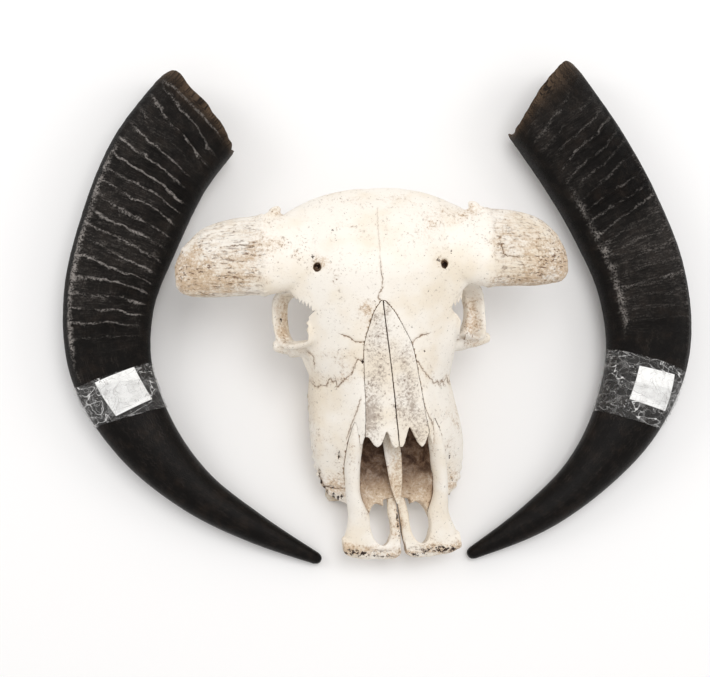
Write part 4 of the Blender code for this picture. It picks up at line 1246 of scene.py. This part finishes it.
def build_sheath(sheath):
    """Outer skin from the tip to the torn rim, then the rim, then the hollow down to its blunt end."""
    name = "sheath_" + sheath.hand
    angle = circle(ROUND_STEPS)[None, :]
    tear = sheath.tear(angle)

    def slide(s):
        return np.maximum(0.0, 1.0 - s / TORN_SHARE) * tear

    tips = [sheath.point(np.full((1, ROUND_STEPS), s), angle, grow)[0] for s, grow in TIP_RINGS]
    shares = np.append(np.arange(FIRST_TIP_SHARE, 0.0, -OUTER_STEP * (1)), 0.0)
    s, a = np.broadcast_arrays(shares[:, None], angle)
    relief, marks = horn_relief(sheath, s, a)
    thin_rim = 1.2 * (1 - ramp(s, 0.0, 0.02))
    outer = sheath.point(s, a, relief - thin_rim, slide(s))
    inner_shares = np.linspace(0, HOLLOW_SHARE, HOLLOW_RINGS)
    inner = hollow_skin(sheath, inner_shares, angle, slide)
    rows = np.concatenate((np.array(tips), outer, inner))
    obj = new_object(name, mesh_from(skin_mesh(rows * MM), name))
    points = places(obj) + (CENTRE_SHIFT[0] * MM, CENTRE_SHIFT[1] * MM, 0.0)
    points[:, 2] = np.maximum(points[:, 2], 0.0)
    move_to(obj, points)
    print(name, len(obj.data.vertices), "vertices for", len(rows) * ROUND_STEPS, "places")
    all_shares = np.concatenate(([s for s, _ in TIP_RINGS], shares, inner_shares))
    is_inner = np.arange(len(rows)) >= len(rows) - HOLLOW_RINGS
    paint_sheath(obj, all_shares, is_inner, marks, angle[0])
    return obj


def paint_sheath(obj, shares, is_inner, marks, angle):
    """Marks for the horn material. The welded mesh keeps the rows' order, so each row can be painted."""
    row_share = np.repeat(shares, ROUND_STEPS)
    inner = np.repeat(is_inner, ROUND_STEPS).astype(float)
    turn = np.tile(angle, len(shares))
    tip_rows, hollow_rows = (np.zeros((rows, ROUND_STEPS)) for rows in (len(TIP_RINGS), HOLLOW_RINGS))
    paint(obj, "length_share", row_share)
    paint(obj, "inside", inner)
    for name, values in marks.items():
        paint(obj, name, np.concatenate((tip_rows, values, hollow_rows)).ravel())
    rim = bell(row_share, 0, 0.022) * (1 - inner)
    paint(obj, "rim", np.clip(rim + inner * bell(row_share, 0, 0.05), 0, 1))
    round_places = row_share * SHEATH_LENGTH, np.cos(turn) * HORN_RADIUS, np.sin(turn) * HORN_RADIUS
    for name, values in zip(HORN_MARKS, round_places):
        paint(obj, name, values)


sheath_skins = {hand: build_sheath(sheath) for hand, sheath in sheaths.items()}

# %% [markdown]
# ## Labels and tape
#
# A square of paper lies on each sheath, held by turns of clear packing tape. A flat square could be wrapped
# on to the horn, but it would pass through the wrinkles. Here each sheet is drawn in the horn's own shares
# and angles, a little above the skin. The tape is crumpled where it was pulled tight over a curving horn,
# and its turns don't lie quite on each other. The paper is left blank.

# %% Labels
LABEL_CORNERS = {"left": ((0.520, 65.1), (0.514, 121.5), (0.583, 134.5), (0.580, 71.1)),
                 "right": ((0.538, 55.2), (0.541, 106.6), (0.605, 106.4), (0.596, 42.3))}
LABEL_LOW, LABEL_THICKNESS = 0.8, 0.22
LABEL_STEPS = 40
CREASE_HEIGHT, CURL_HEIGHT, CURL_SHARE = 0.25, 0.3, 0.12


def sheet_mesh(rows, thickness):
    """A thin sheet over a grid of places in metres, thickened outwards from the horn."""
    bm = skin_mesh(rows, wrap=False, caps=False)
    bmesh.ops.solidify(bm, geom=bm.faces[:], thickness=thickness * MM)
    bmesh.ops.recalc_face_normals(bm, faces=bm.faces)
    return bm


def on_the_model(points):
    """A sheath's millimetre places, moved to the model's frame in metres."""
    return (points + (CENTRE_SHIFT[0], CENTRE_SHIFT[1], 0.0)) * MM


def build_label(hand):
    """A square of paper between four corners, each a share of the horn's length and an angle round it."""
    corners = np.array(LABEL_CORNERS[hand])
    u = np.linspace(0, 1, LABEL_STEPS)[:, None, None]
    v = np.linspace(0, 1, LABEL_STEPS)[None, :, None]
    spread = (corners[0] * (1 - v) + corners[1] * v) * (1 - u) + (corners[3] * (1 - v) + corners[2] * v) * u
    s, angle = spread[..., 0], np.radians(spread[..., 1])
    where = np.stack((s * SHEATH_LENGTH, angle * HORN_RADIUS, np.zeros(s.shape)), -1)
    creases = CREASE_HEIGHT * grain(where, 14, 110 + len(hand), 3)
    edge = np.minimum(np.minimum(u, 1 - u), np.minimum(v, 1 - v))[..., 0]
    curl = CURL_HEIGHT * (1 - ramp(edge, 0.0, CURL_SHARE))
    rows = sheaths[hand].point(s, angle, LABEL_LOW + creases + curl)
    name = "paper_" + hand
    return new_object(name, mesh_from(sheet_mesh(on_the_model(rows), LABEL_THICKNESS), name))


labels = {hand: build_label(hand) for hand in sheaths}
print("labels:", {hand: len(label.data.polygons) for hand, label in labels.items()})

# %% Tape
TAPE_TURNS = {"left": ((0.515, 0.577, -0.003), (0.530, 0.592, 0.0155)),
              "right": ((0.522, 0.590, -0.0065), (0.569, 0.636, 0.0145))}
TAPE_LOW, TAPE_THICKNESS = 1.5, 0.12
TURN_RISE = 0.5
TAPE_STEPS = (40, 300)
CRUMPLE_HEIGHT, FOLD_HEIGHT = 0.30, 0.45


def tape_turn(sheath, first, last, skew, level, seed):
    """Places of one turn of tape, and its marks: folds, frost with painted sheen that is stronger on the
    flanks, and the horn's own coordinates.
    """
    share = np.linspace(0, 1, TAPE_STEPS[0])[:, None]
    angle = np.linspace(0, 2 * np.pi, TAPE_STEPS[1])[None, :]
    share, angle = np.broadcast_arrays(share, angle)
    round_place = np.stack((np.cos(angle) * RING_RADIUS, np.sin(angle) * RING_RADIUS, share * 4), -1)
    waver = 0.0015 * grain(round_place, 11, seed, 2) * np.abs(2 * share - 1)
    s = first + (last - first) * share - skew * np.cos(angle) + waver
    spot = np.stack((s * SHEATH_LENGTH, np.cos(angle) * HORN_RADIUS, np.sin(angle) * HORN_RADIUS), -1)
    crumple = grain(spot, 12, seed + 1, 3)
    fold = np.clip(1 - np.abs(grain(spot * (1.3, 0.7, 0.7), 16, seed + 2, 3)) * 9, 0, 1)
    lift = level + CRUMPLE_HEIGHT * crumple + FOLD_HEIGHT * fold**2
    # Painted sheen on the flanks, where the tape is seen at a slant, over a little frost everywhere.
    grazing_sheen = 0.30 * (1 - np.abs(np.sin(angle))) ** 1.5
    haze_and_sheen = np.clip(0.10 + grazing_sheen + 0.45 * grain(spot, 22, seed + 3, 2), 0, 1)
    rows = on_the_model(sheath.point(s, angle, np.maximum(lift, level - 0.2)))
    return rows, {"fold": fold, "haze_and_sheen": haze_and_sheen, **dict(zip(HORN_MARKS, np.moveaxis(spot, -1, 0)))}


def tape_strip(rows, marks):
    """A closed band of film over rows of places, with its marks painted before it gets its thickness."""
    strip = skin_mesh(rows, wrap=False, caps=False)
    layers = {name: strip.verts.layers.float.new(name) for name in marks}
    for index, vertex in enumerate(strip.verts):
        row, column = divmod(index, TAPE_STEPS[1])
        for name, layer in layers.items():
            vertex[layer] = float(marks[name][row, column])
    bmesh.ops.remove_doubles(strip, verts=strip.verts, dist=WELD)
    bmesh.ops.recalc_face_normals(strip, faces=strip.faces)
    bmesh.ops.solidify(strip, geom=strip.faces[:], thickness=TAPE_THICKNESS * MM)
    return mesh_from(strip, "turn")


def build_tape(hand):
    bm = bmesh.new()
    for turn, (first, last, skew) in enumerate(TAPE_TURNS[hand]):
        seed = 120 + 10 * turn + len(hand)
        rows, marks = tape_turn(sheaths[hand], first, last, skew, TAPE_LOW + TURN_RISE * turn, seed)
        rows[..., 2] = np.maximum(rows[..., 2], TAPE_THICKNESS * MM)
        strip = tape_strip(rows, marks)
        bm.from_mesh(strip)
        bpy.data.meshes.remove(strip)
    bmesh.ops.recalc_face_normals(bm, faces=bm.faces)
    return new_object("clear_tape_" + hand, mesh_from(bm, "clear_tape_" + hand))


tapes = {hand: build_tape(hand) for hand in sheaths}
print("tape:", {hand: len(tape.data.polygons) for hand, tape in tapes.items()})

# %% [markdown]
# ## Materials
#
# Each finish is built from shader nodes on the object's own coordinates and on the painted marks.
# Photographs wrapped on to the pieces would be quicker, but they would be blurred close up and wrong on the
# sides. A small helper adds a node and joins its inputs, so that a material reads as a list of steps.

# %% Node helpers


class Finish:
    """A material under construction."""

    def __init__(self, name, roughness):
        self.material = bpy.data.materials.new(name)
        self.material.use_nodes = True
        self.tree = self.material.node_tree
        self.shader = self.tree.nodes["Principled BSDF"]
        self.shader.inputs["Roughness"].default_value = roughness
        self.coordinates = self.tree.nodes.new("ShaderNodeTexCoord").outputs["Object"]

    def fill(self, socket, value):
        """Joins another node's output to a socket, or sets its value."""
        if isinstance(value, bpy.types.NodeSocket):
            self.tree.links.new(value, socket)
        else:
            socket.default_value = value

    def node(self, kind, inputs, **settings):
        made = self.tree.nodes.new(kind)
        for key, value in settings.items():
            setattr(made, key, value)
        for key, value in inputs.items():
            self.fill(made.inputs[key], value)
        return made

    def mark(self, name):
        """A painted attribute."""
        return self.node("ShaderNodeAttribute", {}, attribute_name=name).outputs["Fac"]

    def along_horn(self):
        """Places in millimetres that follow a sheath: along it, and two ways across it."""
        inputs = {axis: self.mark(name) for axis, name in zip("XYZ", HORN_MARKS)}
        return self.node("ShaderNodeCombineXYZ", inputs).outputs["Vector"]

    def stretched(self, scale, source=None):
        inputs = {"Vector": source or self.coordinates, "Scale": scale}
        return self.node("ShaderNodeMapping", inputs).outputs["Vector"]

    def noise(self, scale, detail, roughness=0.55, source=None, distortion=0.0):
        inputs = {"Vector": source or self.coordinates, "Scale": scale, "Detail": detail,
                  "Roughness": roughness, "Distortion": distortion}
        return self.node("ShaderNodeTexNoise", inputs).outputs["Fac"]

    def step(self, value, low, high, start=0.0, end=1.0):
        """From start at low to end at high, smoothly."""
        inputs = {"Value": value, "From Min": low, "From Max": high, "To Min": start, "To Max": end}
        return self.node("ShaderNodeMapRange", inputs, interpolation_type="SMOOTHSTEP").outputs["Result"]

    def maths(self, operation, first, second=0.0):
        return self.node("ShaderNodeMath", {0: first, 1: second}, operation=operation).outputs["Value"]

    def times(self, first, second):
        return self.maths("MULTIPLY", first, second)

    def plus(self, first, second):
        return self.maths("ADD", first, second)

    def either(self, first, second):
        return self.maths("MAXIMUM", first, second)

    def mix(self, share, first, second):
        return self.node("ShaderNodeMix", {0: share, 6: first, 7: second}, data_type="RGBA").outputs[2]

    def bump(self, height, distance, strength, under=None):
        """Relief in metres, over another relief where one is given."""
        inputs = {"Height": height, "Distance": distance, "Strength": strength}
        if under is not None:
            inputs["Normal"] = under
        return self.node("ShaderNodeBump", inputs).outputs["Normal"]

    def surface(self, **sockets):
        for name, value in sockets.items():
            self.fill(self.shader.inputs[name.replace("_", " ")], value)
        return self.material


# %% [markdown]
# ### Bleached bone
#
# Old bone is cream rather than white, and paler where the sun reached it. Dirt sits in pores, in seams and
# along the grain of the horn cores. The roof bones are weathered grey. One noise in two colours would look
# like stone, so each kind of dirt gets its own scale and its own colour, and the painted marks say where it
# may lie. Hollows get painted shade from brown to nearly black. Close up bone has a fine tooth, which only a
# bump gives.

# %% Bone material
BONE_PALE = (0.93, 0.875, 0.795, 1)
BONE_CREAM = (0.86, 0.765, 0.630, 1)
BONE_TAN = (0.58, 0.415, 0.265, 1)
BONE_GREY = (0.40, 0.325, 0.265, 1)
BONE_BROWN = (0.190, 0.092, 0.045, 1)
BONE_DARK = (0.032, 0.014, 0.008, 1)


def bone_material(name, stain_and_shade_colour, speckled):
    """Bone from the widest change of colour to the finest, then its relief."""
    f = Finish(name, 0.55)
    f.surface(Specular_IOR_Level=0.35)
    wide = f.noise(14, 3)
    fine = f.noise(420, 3, 0.6)
    patches = f.noise(75, 5, 0.7, distortion=0.4)
    freckle = f.noise(330, 4, 0.75)
    colour = f.mix(f.step(wide, 0.40, 0.66), BONE_PALE, BONE_CREAM)

    # Stains, broken up by patches and freckles. Their mark also carries the tan of recesses, partly dirt and
    # partly painted shade.
    grains = f.times(f.step(patches, 0.25, 0.75, 0.40, 1.45), f.step(freckle, 0.40, 0.62, 0.45, 1.35))
    stain_and_shade = f.times(f.mark("stain_and_shade"), grains)
    colour = f.mix(f.step(stain_and_shade, 0.05, 0.85, 0.0, 0.82), colour, stain_and_shade_colour)
    specks = f.times(f.step(freckle, 0.56, 0.68), f.step(patches, 0.42, 0.62))
    speck_share = f.times(specks, f.step(stain_and_shade, 0.02, 0.40, speckled, 1.0))
    colour = f.mix(f.times(speck_share, 0.85), colour, BONE_BROWN)

    # Fibres and slits along the horn cores.
    porous = f.mark("porous")
    grain_run = f.noise(1.0, 5, 0.68, source=f.stretched((34, 300, 300)), distortion=0.3)
    weathered = f.times(porous, f.step(f.mark("stain_and_shade"), 0.1, 0.7, 0.42, 1.0))
    fibres = f.times(f.step(grain_run, 0.46, 0.60), weathered)
    colour = f.mix(f.times(fibres, f.step(patches, 0.3, 0.7, 0.35, 0.85)), colour, BONE_TAN)
    slits = f.step(f.noise(1.0, 3, 0.6, source=f.stretched((78, 420, 420))), 0.575, 0.635)
    slits = f.times(f.times(slits, f.step(f.noise(42, 3), 0.36, 0.56)), weathered)
    colour = f.mix(f.times(slits, 0.92), colour, BONE_BROWN)

    # Seams: a wavering dark line with a tan edge.
    wiggle = f.step(f.noise(300, 3), 0.3, 0.7, -0.8, 0.8)
    seam = f.maths("ABSOLUTE", f.plus(f.mark("seam"), wiggle))
    strength = f.mark("seam_strength")
    gaps = f.step(f.noise(120, 2), 0.30, 0.48, 0.25, 1.0)
    line = f.times(f.times(f.step(seam, 0.80, 0.25), strength), gaps)
    colour = f.mix(f.times(line, 0.95), colour, BONE_BROWN)
    colour = f.mix(f.times(f.times(f.step(seam, 3.2, 0.5), strength), 0.25), colour, BONE_TAN)

    # Painted shade in the hollows, from brown to nearly black, and dark pits with torn edges.
    hollow = f.mark("hollow")
    colour = f.mix(f.times(hollow, f.step(patches, 0.3, 0.7, 0.75, 1.0)), colour, BONE_BROWN)
    darkest_painted_shade = f.times(f.step(hollow, 0.45, 1.0), f.step(patches, 0.35, 0.65, 0.15, 0.85))
    colour = f.mix(darkest_painted_shade, colour, BONE_DARK)
    dark_pits = f.plus(f.mark("spot"), f.step(f.noise(280, 4, 0.7), 0.3, 0.7, -0.55, 0.55))
    colour = f.mix(f.step(dark_pits, 0.45, 0.65), colour, BONE_DARK)

    normal = f.bump(fine, 0.0004, 0.4)
    normal = f.bump(grain_run, 0.0022, f.times(porous, 0.9), normal)
    depth = f.plus(f.plus(slits, line), f.times(speck_share, 0.4))
    normal = f.bump(f.times(depth, -1.0), 0.0014, 0.8, normal)
    return f.surface(Base_Color=colour, Roughness=f.step(stain_and_shade, 0.0, 1.0, 0.50, 0.72), Normal=normal)


bone_finish = bone_material("bleached_bone", BONE_TAN, 0.45)
grey_bone = bone_material("weathered_bone", BONE_GREY, 0.9)
print("bone nodes:", len(bone_finish.node_tree.nodes))

# %% [markdown]
# ### Teeth
#
# Enamel is smoother than bone, with brown tartar towards the root. Streaks that run up the tooth make it,
# with the painted root over them, and grime with painted shade where bone hems the tooth in.

# %% Tooth material
ENAMEL = (0.66, 0.58, 0.45, 1)
TARTAR = (0.10, 0.06, 0.035, 1)
ROOT_BONE = (0.55, 0.42, 0.27, 1)


def tooth_material():
    f = Finish("worn_enamel", 0.35)
    streaks = f.noise(1.0, 4, 0.6, source=f.stretched((260, 260, 45)))
    colour = f.mix(f.step(streaks, 0.35, 0.7), ENAMEL, ROOT_BONE)
    colour = f.mix(f.times(f.mark("root"), 0.7), colour, ROOT_BONE)
    # Tartar over the grime streaks and over painted shade where bone hems the tooth in.
    grime_and_shade = f.times(f.mark("grime_and_shade"), f.step(f.noise(140, 4, 0.7), 0.35, 0.6))
    colour = f.mix(f.times(grime_and_shade, 0.92), colour, TARTAR)
    normal = f.bump(streaks, 0.0008, 0.6)
    return f.surface(Base_Color=colour, Roughness=f.step(grime_and_shade, 0, 1, 0.32, 0.65), Normal=normal)

tooth_finish = tooth_material()
print("tooth nodes:", len(tooth_finish.node_tree.nodes))

# %% [markdown]
# ### Black horn
#
# Horn is nearly black, made of fibres that run to the tip, light on the crests of its ridges with dust and a
# painted highlight, and torn to brown flakes at the rim. Black with a gloss would look like plastic. So it
# has a low specular level, and a grey haze of fine lines, partly dust and partly painted sheen, that lies
# across the base half. Its patterns read places that follow the horn, so they bend with it.

# %% Horn material
HORN_BLACK = (0.0035, 0.0026, 0.0021, 1)
HORN_BROWN = (0.0125, 0.0080, 0.0055, 1)
HORN_WORN = (0.040, 0.034, 0.030, 1)
# Haze and crest colours: dust with a painted sheen on the wrinkles and a painted highlight on the crests.
HORN_HAZE_AND_SHEEN = (0.150, 0.134, 0.122, 1)
HORN_CREST_DUST_AND_HIGHLIGHT = (0.330, 0.302, 0.280, 1)
HORN_RIM = (0.150, 0.098, 0.062, 1)
HORN_INSIDE = (0.120, 0.080, 0.050, 1)


def horn_material():
    """Horn from black to its light crests of dust and painted highlight, then its relief."""
    f = Finish("black_horn", 0.4)
    f.surface(Specular_IOR_Level=0.11)
    around = f.along_horn()
    length_share = f.mark("length_share")
    fibres = f.noise(1.0, 4, 0.62, source=f.stretched((0.035, 0.9, 0.9), around))
    across = f.noise(1.0, 5, 0.62, source=f.stretched((0.62, 0.10, 0.10), around))
    mottle = f.noise(60, 4, 0.65)
    fine = f.step(f.noise(420, 4, 0.7), 0.38, 0.60)
    colour = f.mix(f.step(mottle, 0.45, 0.78), HORN_BLACK, HORN_BROWN)

    # The ridges' own wave, a little unsteady, and the crests on its tops, which get dust and a painted
    # highlight.
    wobble = f.plus(f.step(f.noise(26, 2), 0.3, 0.7, -1.3, 1.3), f.step(f.noise(110, 3), 0.3, 0.7, -0.7, 0.7))
    wave = f.maths("COSINE", f.plus(f.mark("ridge_turn"), wobble))
    narrow = f.step(f.noise(48, 2), 0.35, 0.65, 3.0, 9.0)
    crest = f.maths("POWER", f.step(wave, -1.0, 1.0), narrow)
    crest = f.times(crest, f.step(f.noise(36, 3), 0.36, 0.50, 0.25, 1.0))
    crest = f.times(crest, f.mark("crest_dust_and_highlight"))

    # Worn streaks, a grey haze of dust and painted sheen, crests of dust and painted highlight, and the brown
    # of the rim and the hollow.
    streaks = f.times(f.step(fibres, 0.50, 0.68), f.step(mottle, 0.35, 0.60, 0.0, 0.5))
    colour = f.mix(streaks, colour, HORN_WORN)
    # A haze of dust and painted sheen over the ridged base half.
    colour = f.mix(f.times(f.mark("haze_and_sheen"), f.step(mottle, 0.3, 0.6, 0.15, 0.45)), colour, HORN_WORN)
    lines = f.step(across, 0.46, 0.60, 0.12, 1.0)
    haze_and_sheen = f.times(f.times(f.mark("haze_and_sheen"), lines), f.times(fine, f.step(wave, -0.9, 0.4, 0.35, 1.0)))
    colour = f.mix(haze_and_sheen, colour, HORN_HAZE_AND_SHEEN)
    # Dust and a painted highlight along the crests and beads.
    dust_and_highlight = f.times(f.plus(crest, f.mark("bead_dust_and_highlight")), f.step(fine, 0.0, 1.0, 0.30, 1.0))
    colour = f.mix(f.step(dust_and_highlight, 0.08, 0.85), colour, HORN_CREST_DUST_AND_HIGHLIGHT)
    rim = f.times(f.mark("rim"), f.step(fibres, 0.34, 0.62, 0.10, 1.0))
    colour = f.mix(f.times(rim, 0.8), colour, HORN_RIM)
    inside = f.times(f.mark("inside"), f.step(f.noise(50, 4), 0.3, 0.7, 0.5, 1.0))
    colour = f.mix(inside, colour, HORN_INSIDE)

    base_half = f.step(length_share, 0.62, 0.42)
    normal = f.bump(fibres, 0.0008, f.step(length_share, 0.0, 0.6, 0.6, 0.3))
    normal = f.bump(crest, 0.0030, 0.8, normal)
    normal = f.bump(across, 0.0030, f.times(base_half, 0.9), normal)
    normal = f.bump(f.noise(480, 3, 0.7), 0.0007, 0.6, normal)
    rough = f.plus(f.step(length_share, 0.45, 0.72, 0.46, 0.30), f.step(fibres, 0.3, 0.7, 0.0, 0.10))
    return f.surface(Base_Color=colour, Roughness=rough, Normal=normal)


horn_finish = horn_material()
print("horn nodes:", len(horn_finish.node_tree.nodes))

# %% [markdown]
# ### Paper and clear tape
#
# The paper is white, a little smudged and matt. The tape is a thin clear film whose wrinkles catch the
# light. Glass would need refraction through two close walls, which is slow and turns dark on black horn. So
# the film is nearly see-through, and only painted reflections on its creases and folds, painted glints and a
# faint veil of frost and painted sheen are opaque.

# %% Paper and tape materials
PAPER_WHITE = (0.96, 0.955, 0.94, 1)
PAPER_SMUDGE = (0.76, 0.75, 0.735, 1)
# The grey of the tape's painted reflections, glints and frost.
TAPE_SHEEN_AND_FROST = (0.80, 0.79, 0.78, 1)


def paper_material():
    f = Finish("label_paper", 0.75)
    smudge = f.noise(70, 4, 0.6)
    colour = f.mix(f.step(smudge, 0.48, 0.75, 0.0, 0.7), PAPER_WHITE, PAPER_SMUDGE)
    normal = f.bump(f.noise(900, 3, 0.6), 0.0001, 0.4)
    normal = f.bump(f.noise(90, 3), 0.0008, 0.5, normal)
    return f.surface(Base_Color=colour, Normal=normal)


def thin_line(f, noise, level, outside, inside):
    """1 where a noise passes a level, which draws long thin lines."""
    return f.step(f.maths("ABSOLUTE", f.maths("SUBTRACT", noise, level)), outside, inside)


def tape_material():
    f = Finish("clear_tape", 0.10)
    around = f.along_horn()
    crinkle = f.noise(1.0, 4, 0.6, source=f.stretched((0.10, 0.045, 0.045), around), distortion=1.2)
    hoops = f.noise(1.0, 0.6, 0.5, source=f.stretched((0.085, 0.030, 0.030), around), distortion=0.6)
    creases = f.noise(1.0, 0.6, 0.5, source=f.stretched((0.035, 0.060, 0.060), around), distortion=1.5)
    # Thin white lines of painted reflection along the creases, and painted glints in clusters.
    crease_reflections = f.either(thin_line(f, hoops, 0.5, 0.016, 0.004), thin_line(f, creases, 0.48, 0.012, 0.003))
    clusters = f.step(f.noise(1.0, 2, source=f.stretched((0.060, 0.060, 0.060), around)), 0.52, 0.62)
    painted_glints = f.step(f.noise(1.0, 3, 0.7, source=f.stretched((0.75, 0.40, 0.40), around)), 0.61, 0.67)
    # A faint veil of frost and painted sheen, and painted reflection on the folds.
    frost_and_sheen = f.times(f.mark("haze_and_sheen"), f.step(crinkle, 0.35, 0.65, 0.4, 1.0))
    reflection_and_frost = f.times(crease_reflections, f.step(clusters, 0.0, 1.0, 0.30, 0.75))
    for shine, strength in ((f.times(painted_glints, clusters), 0.95), (frost_and_sheen, 0.10), (f.mark("fold"), 0.20)):
        reflection_and_frost = f.either(reflection_and_frost, f.times(shine, strength))
    f.material.surface_render_method = "BLENDED"
    # The film is opaque only where these painted reflections, glints and frost lie.
    alpha = f.step(reflection_and_frost, 0.0, 1.0, 0.02, 0.95)
    return f.surface(Base_Color=TAPE_SHEEN_AND_FROST, Alpha=alpha, Normal=f.bump(crinkle, 0.0040, 0.8), IOR=1.49)


paper_finish, tape_finish = paper_material(), tape_material()
print("paper and tape nodes:", len(paper_finish.node_tree.nodes), len(tape_finish.node_tree.nodes))

# %% [markdown]
# ## Riding on the model
#
# Each skin stands for its solid, which is then hidden, and rides on the one body. The solids could be given
# the materials as they are, but their flat faces would show.

# %% Give out materials and replace the solids


def dress(obj, material, slot, *nodes):
    """Keeps a piece inside the box of the solids, gives it its material and lets it stand for its nodes."""
    move_to(obj, np.clip(places(obj), *np.array(solid_box)))
    obj.data.materials.clear()
    obj.data.materials.append(material)
    obj.data.shade_smooth()
    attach(obj, "root")
    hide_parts(*nodes)


slots = {entry["slot"] for entry in frame["record"]["materials"]}
print("slots:", sorted(slots))
dress(cranium, bone_finish, "bone", "cranium")
dress(vomer, bone_finish, "bone", "vomer")
for hand, nasal, snout_bone in zip(("left", "right"), nasals, snout_bones):
    dress(nasal, grey_bone, "bone", "nasal_" + hand)
    dress(snout_bone, bone_finish, "bone", "premaxilla_" + hand)
    dress(sheath_skins[hand], horn_finish, "horn", "horn_sheath_" + hand)
    dress(labels[hand], paper_finish, "paper", "label_" + hand)
    dress(tapes[hand], tape_finish, "tape", "tape_" + hand)
for name, tooth in teeth.items():
    dress(tooth, tooth_finish, "tooth", name)

# %% [markdown]
# ## Floor, light and camera
#
# The photograph was taken in flat light that leaves faint, wide shadows. One small lamp would draw hard
# ones, so a broad light overhead and a weaker one from each side stand in a bright, even world, over a pale
# matt floor.

# %% Stage
FLOOR_COLOUR = (0.96, 0.95, 0.945, 1)
FLOOR_SIZE, FLOOR_DROP = 6.0, 0.0006
LIGHTS_AIM = Vector((0, -0.05, 0.05))
# Place, size and power of each light.
LIGHTS = {"overhead": ((0.25, 0.35, 2.3), 1.3, 18), "from_left": ((-2.0, 0.6, 1.5), 1.0, 10),
          "from_right": ((2.0, 0.4, 1.6), 1.0, 7)}
STUDIO_COLOUR, STUDIO_STRENGTH = (1.0, 0.995, 0.99, 1), 0.66


def build_floor():
    bm = bmesh.new()
    bmesh.ops.create_grid(bm, x_segments=1, y_segments=1, size=FLOOR_SIZE)
    bmesh.ops.translate(bm, verts=bm.verts, vec=(0, 0, -FLOOR_DROP))
    floor = new_object("floor", mesh_from(bm, "floor"))
    floor.data.materials.append(Finish("pale_table", 0.85).surface(Base_Color=FLOOR_COLOUR))


def soft_light(name, where, size, power):
    data = bpy.data.lights.new(name, "AREA")
    data.size = size
    data.energy = power
    lamp = new_object(name, data)
    lamp.location = where
    lamp.rotation_euler = (LIGHTS_AIM - Vector(where)).to_track_quat("-Z", "Y").to_euler()


build_floor()
for name, (where, size, power) in LIGHTS.items():
    soft_light(name, where, size, power)
world = bpy.data.worlds.new("studio")
world.use_nodes = True
background = world.node_tree.nodes["Background"]
background.inputs["Color"].default_value = STUDIO_COLOUR
background.inputs["Strength"].default_value = STUDIO_STRENGTH
bpy.context.scene.world = world
bpy.context.scene.view_settings.view_transform = "Standard"
print(len(LIGHTS), "soft lights")

# %% Camera
camera_data = bpy.data.cameras.new("camera")
camera_data.lens = LENS_MM
camera_data.sensor_width = SENSOR_MM
camera_data.clip_end = 50.0
camera = new_object("camera", camera_data)
camera.location = EYE
camera.rotation_euler = Matrix((sight_right, sight_up, -sight)).transposed().to_euler()
bpy.context.scene.camera = camera
print("camera at", [round(v, 3) for v in camera.location])
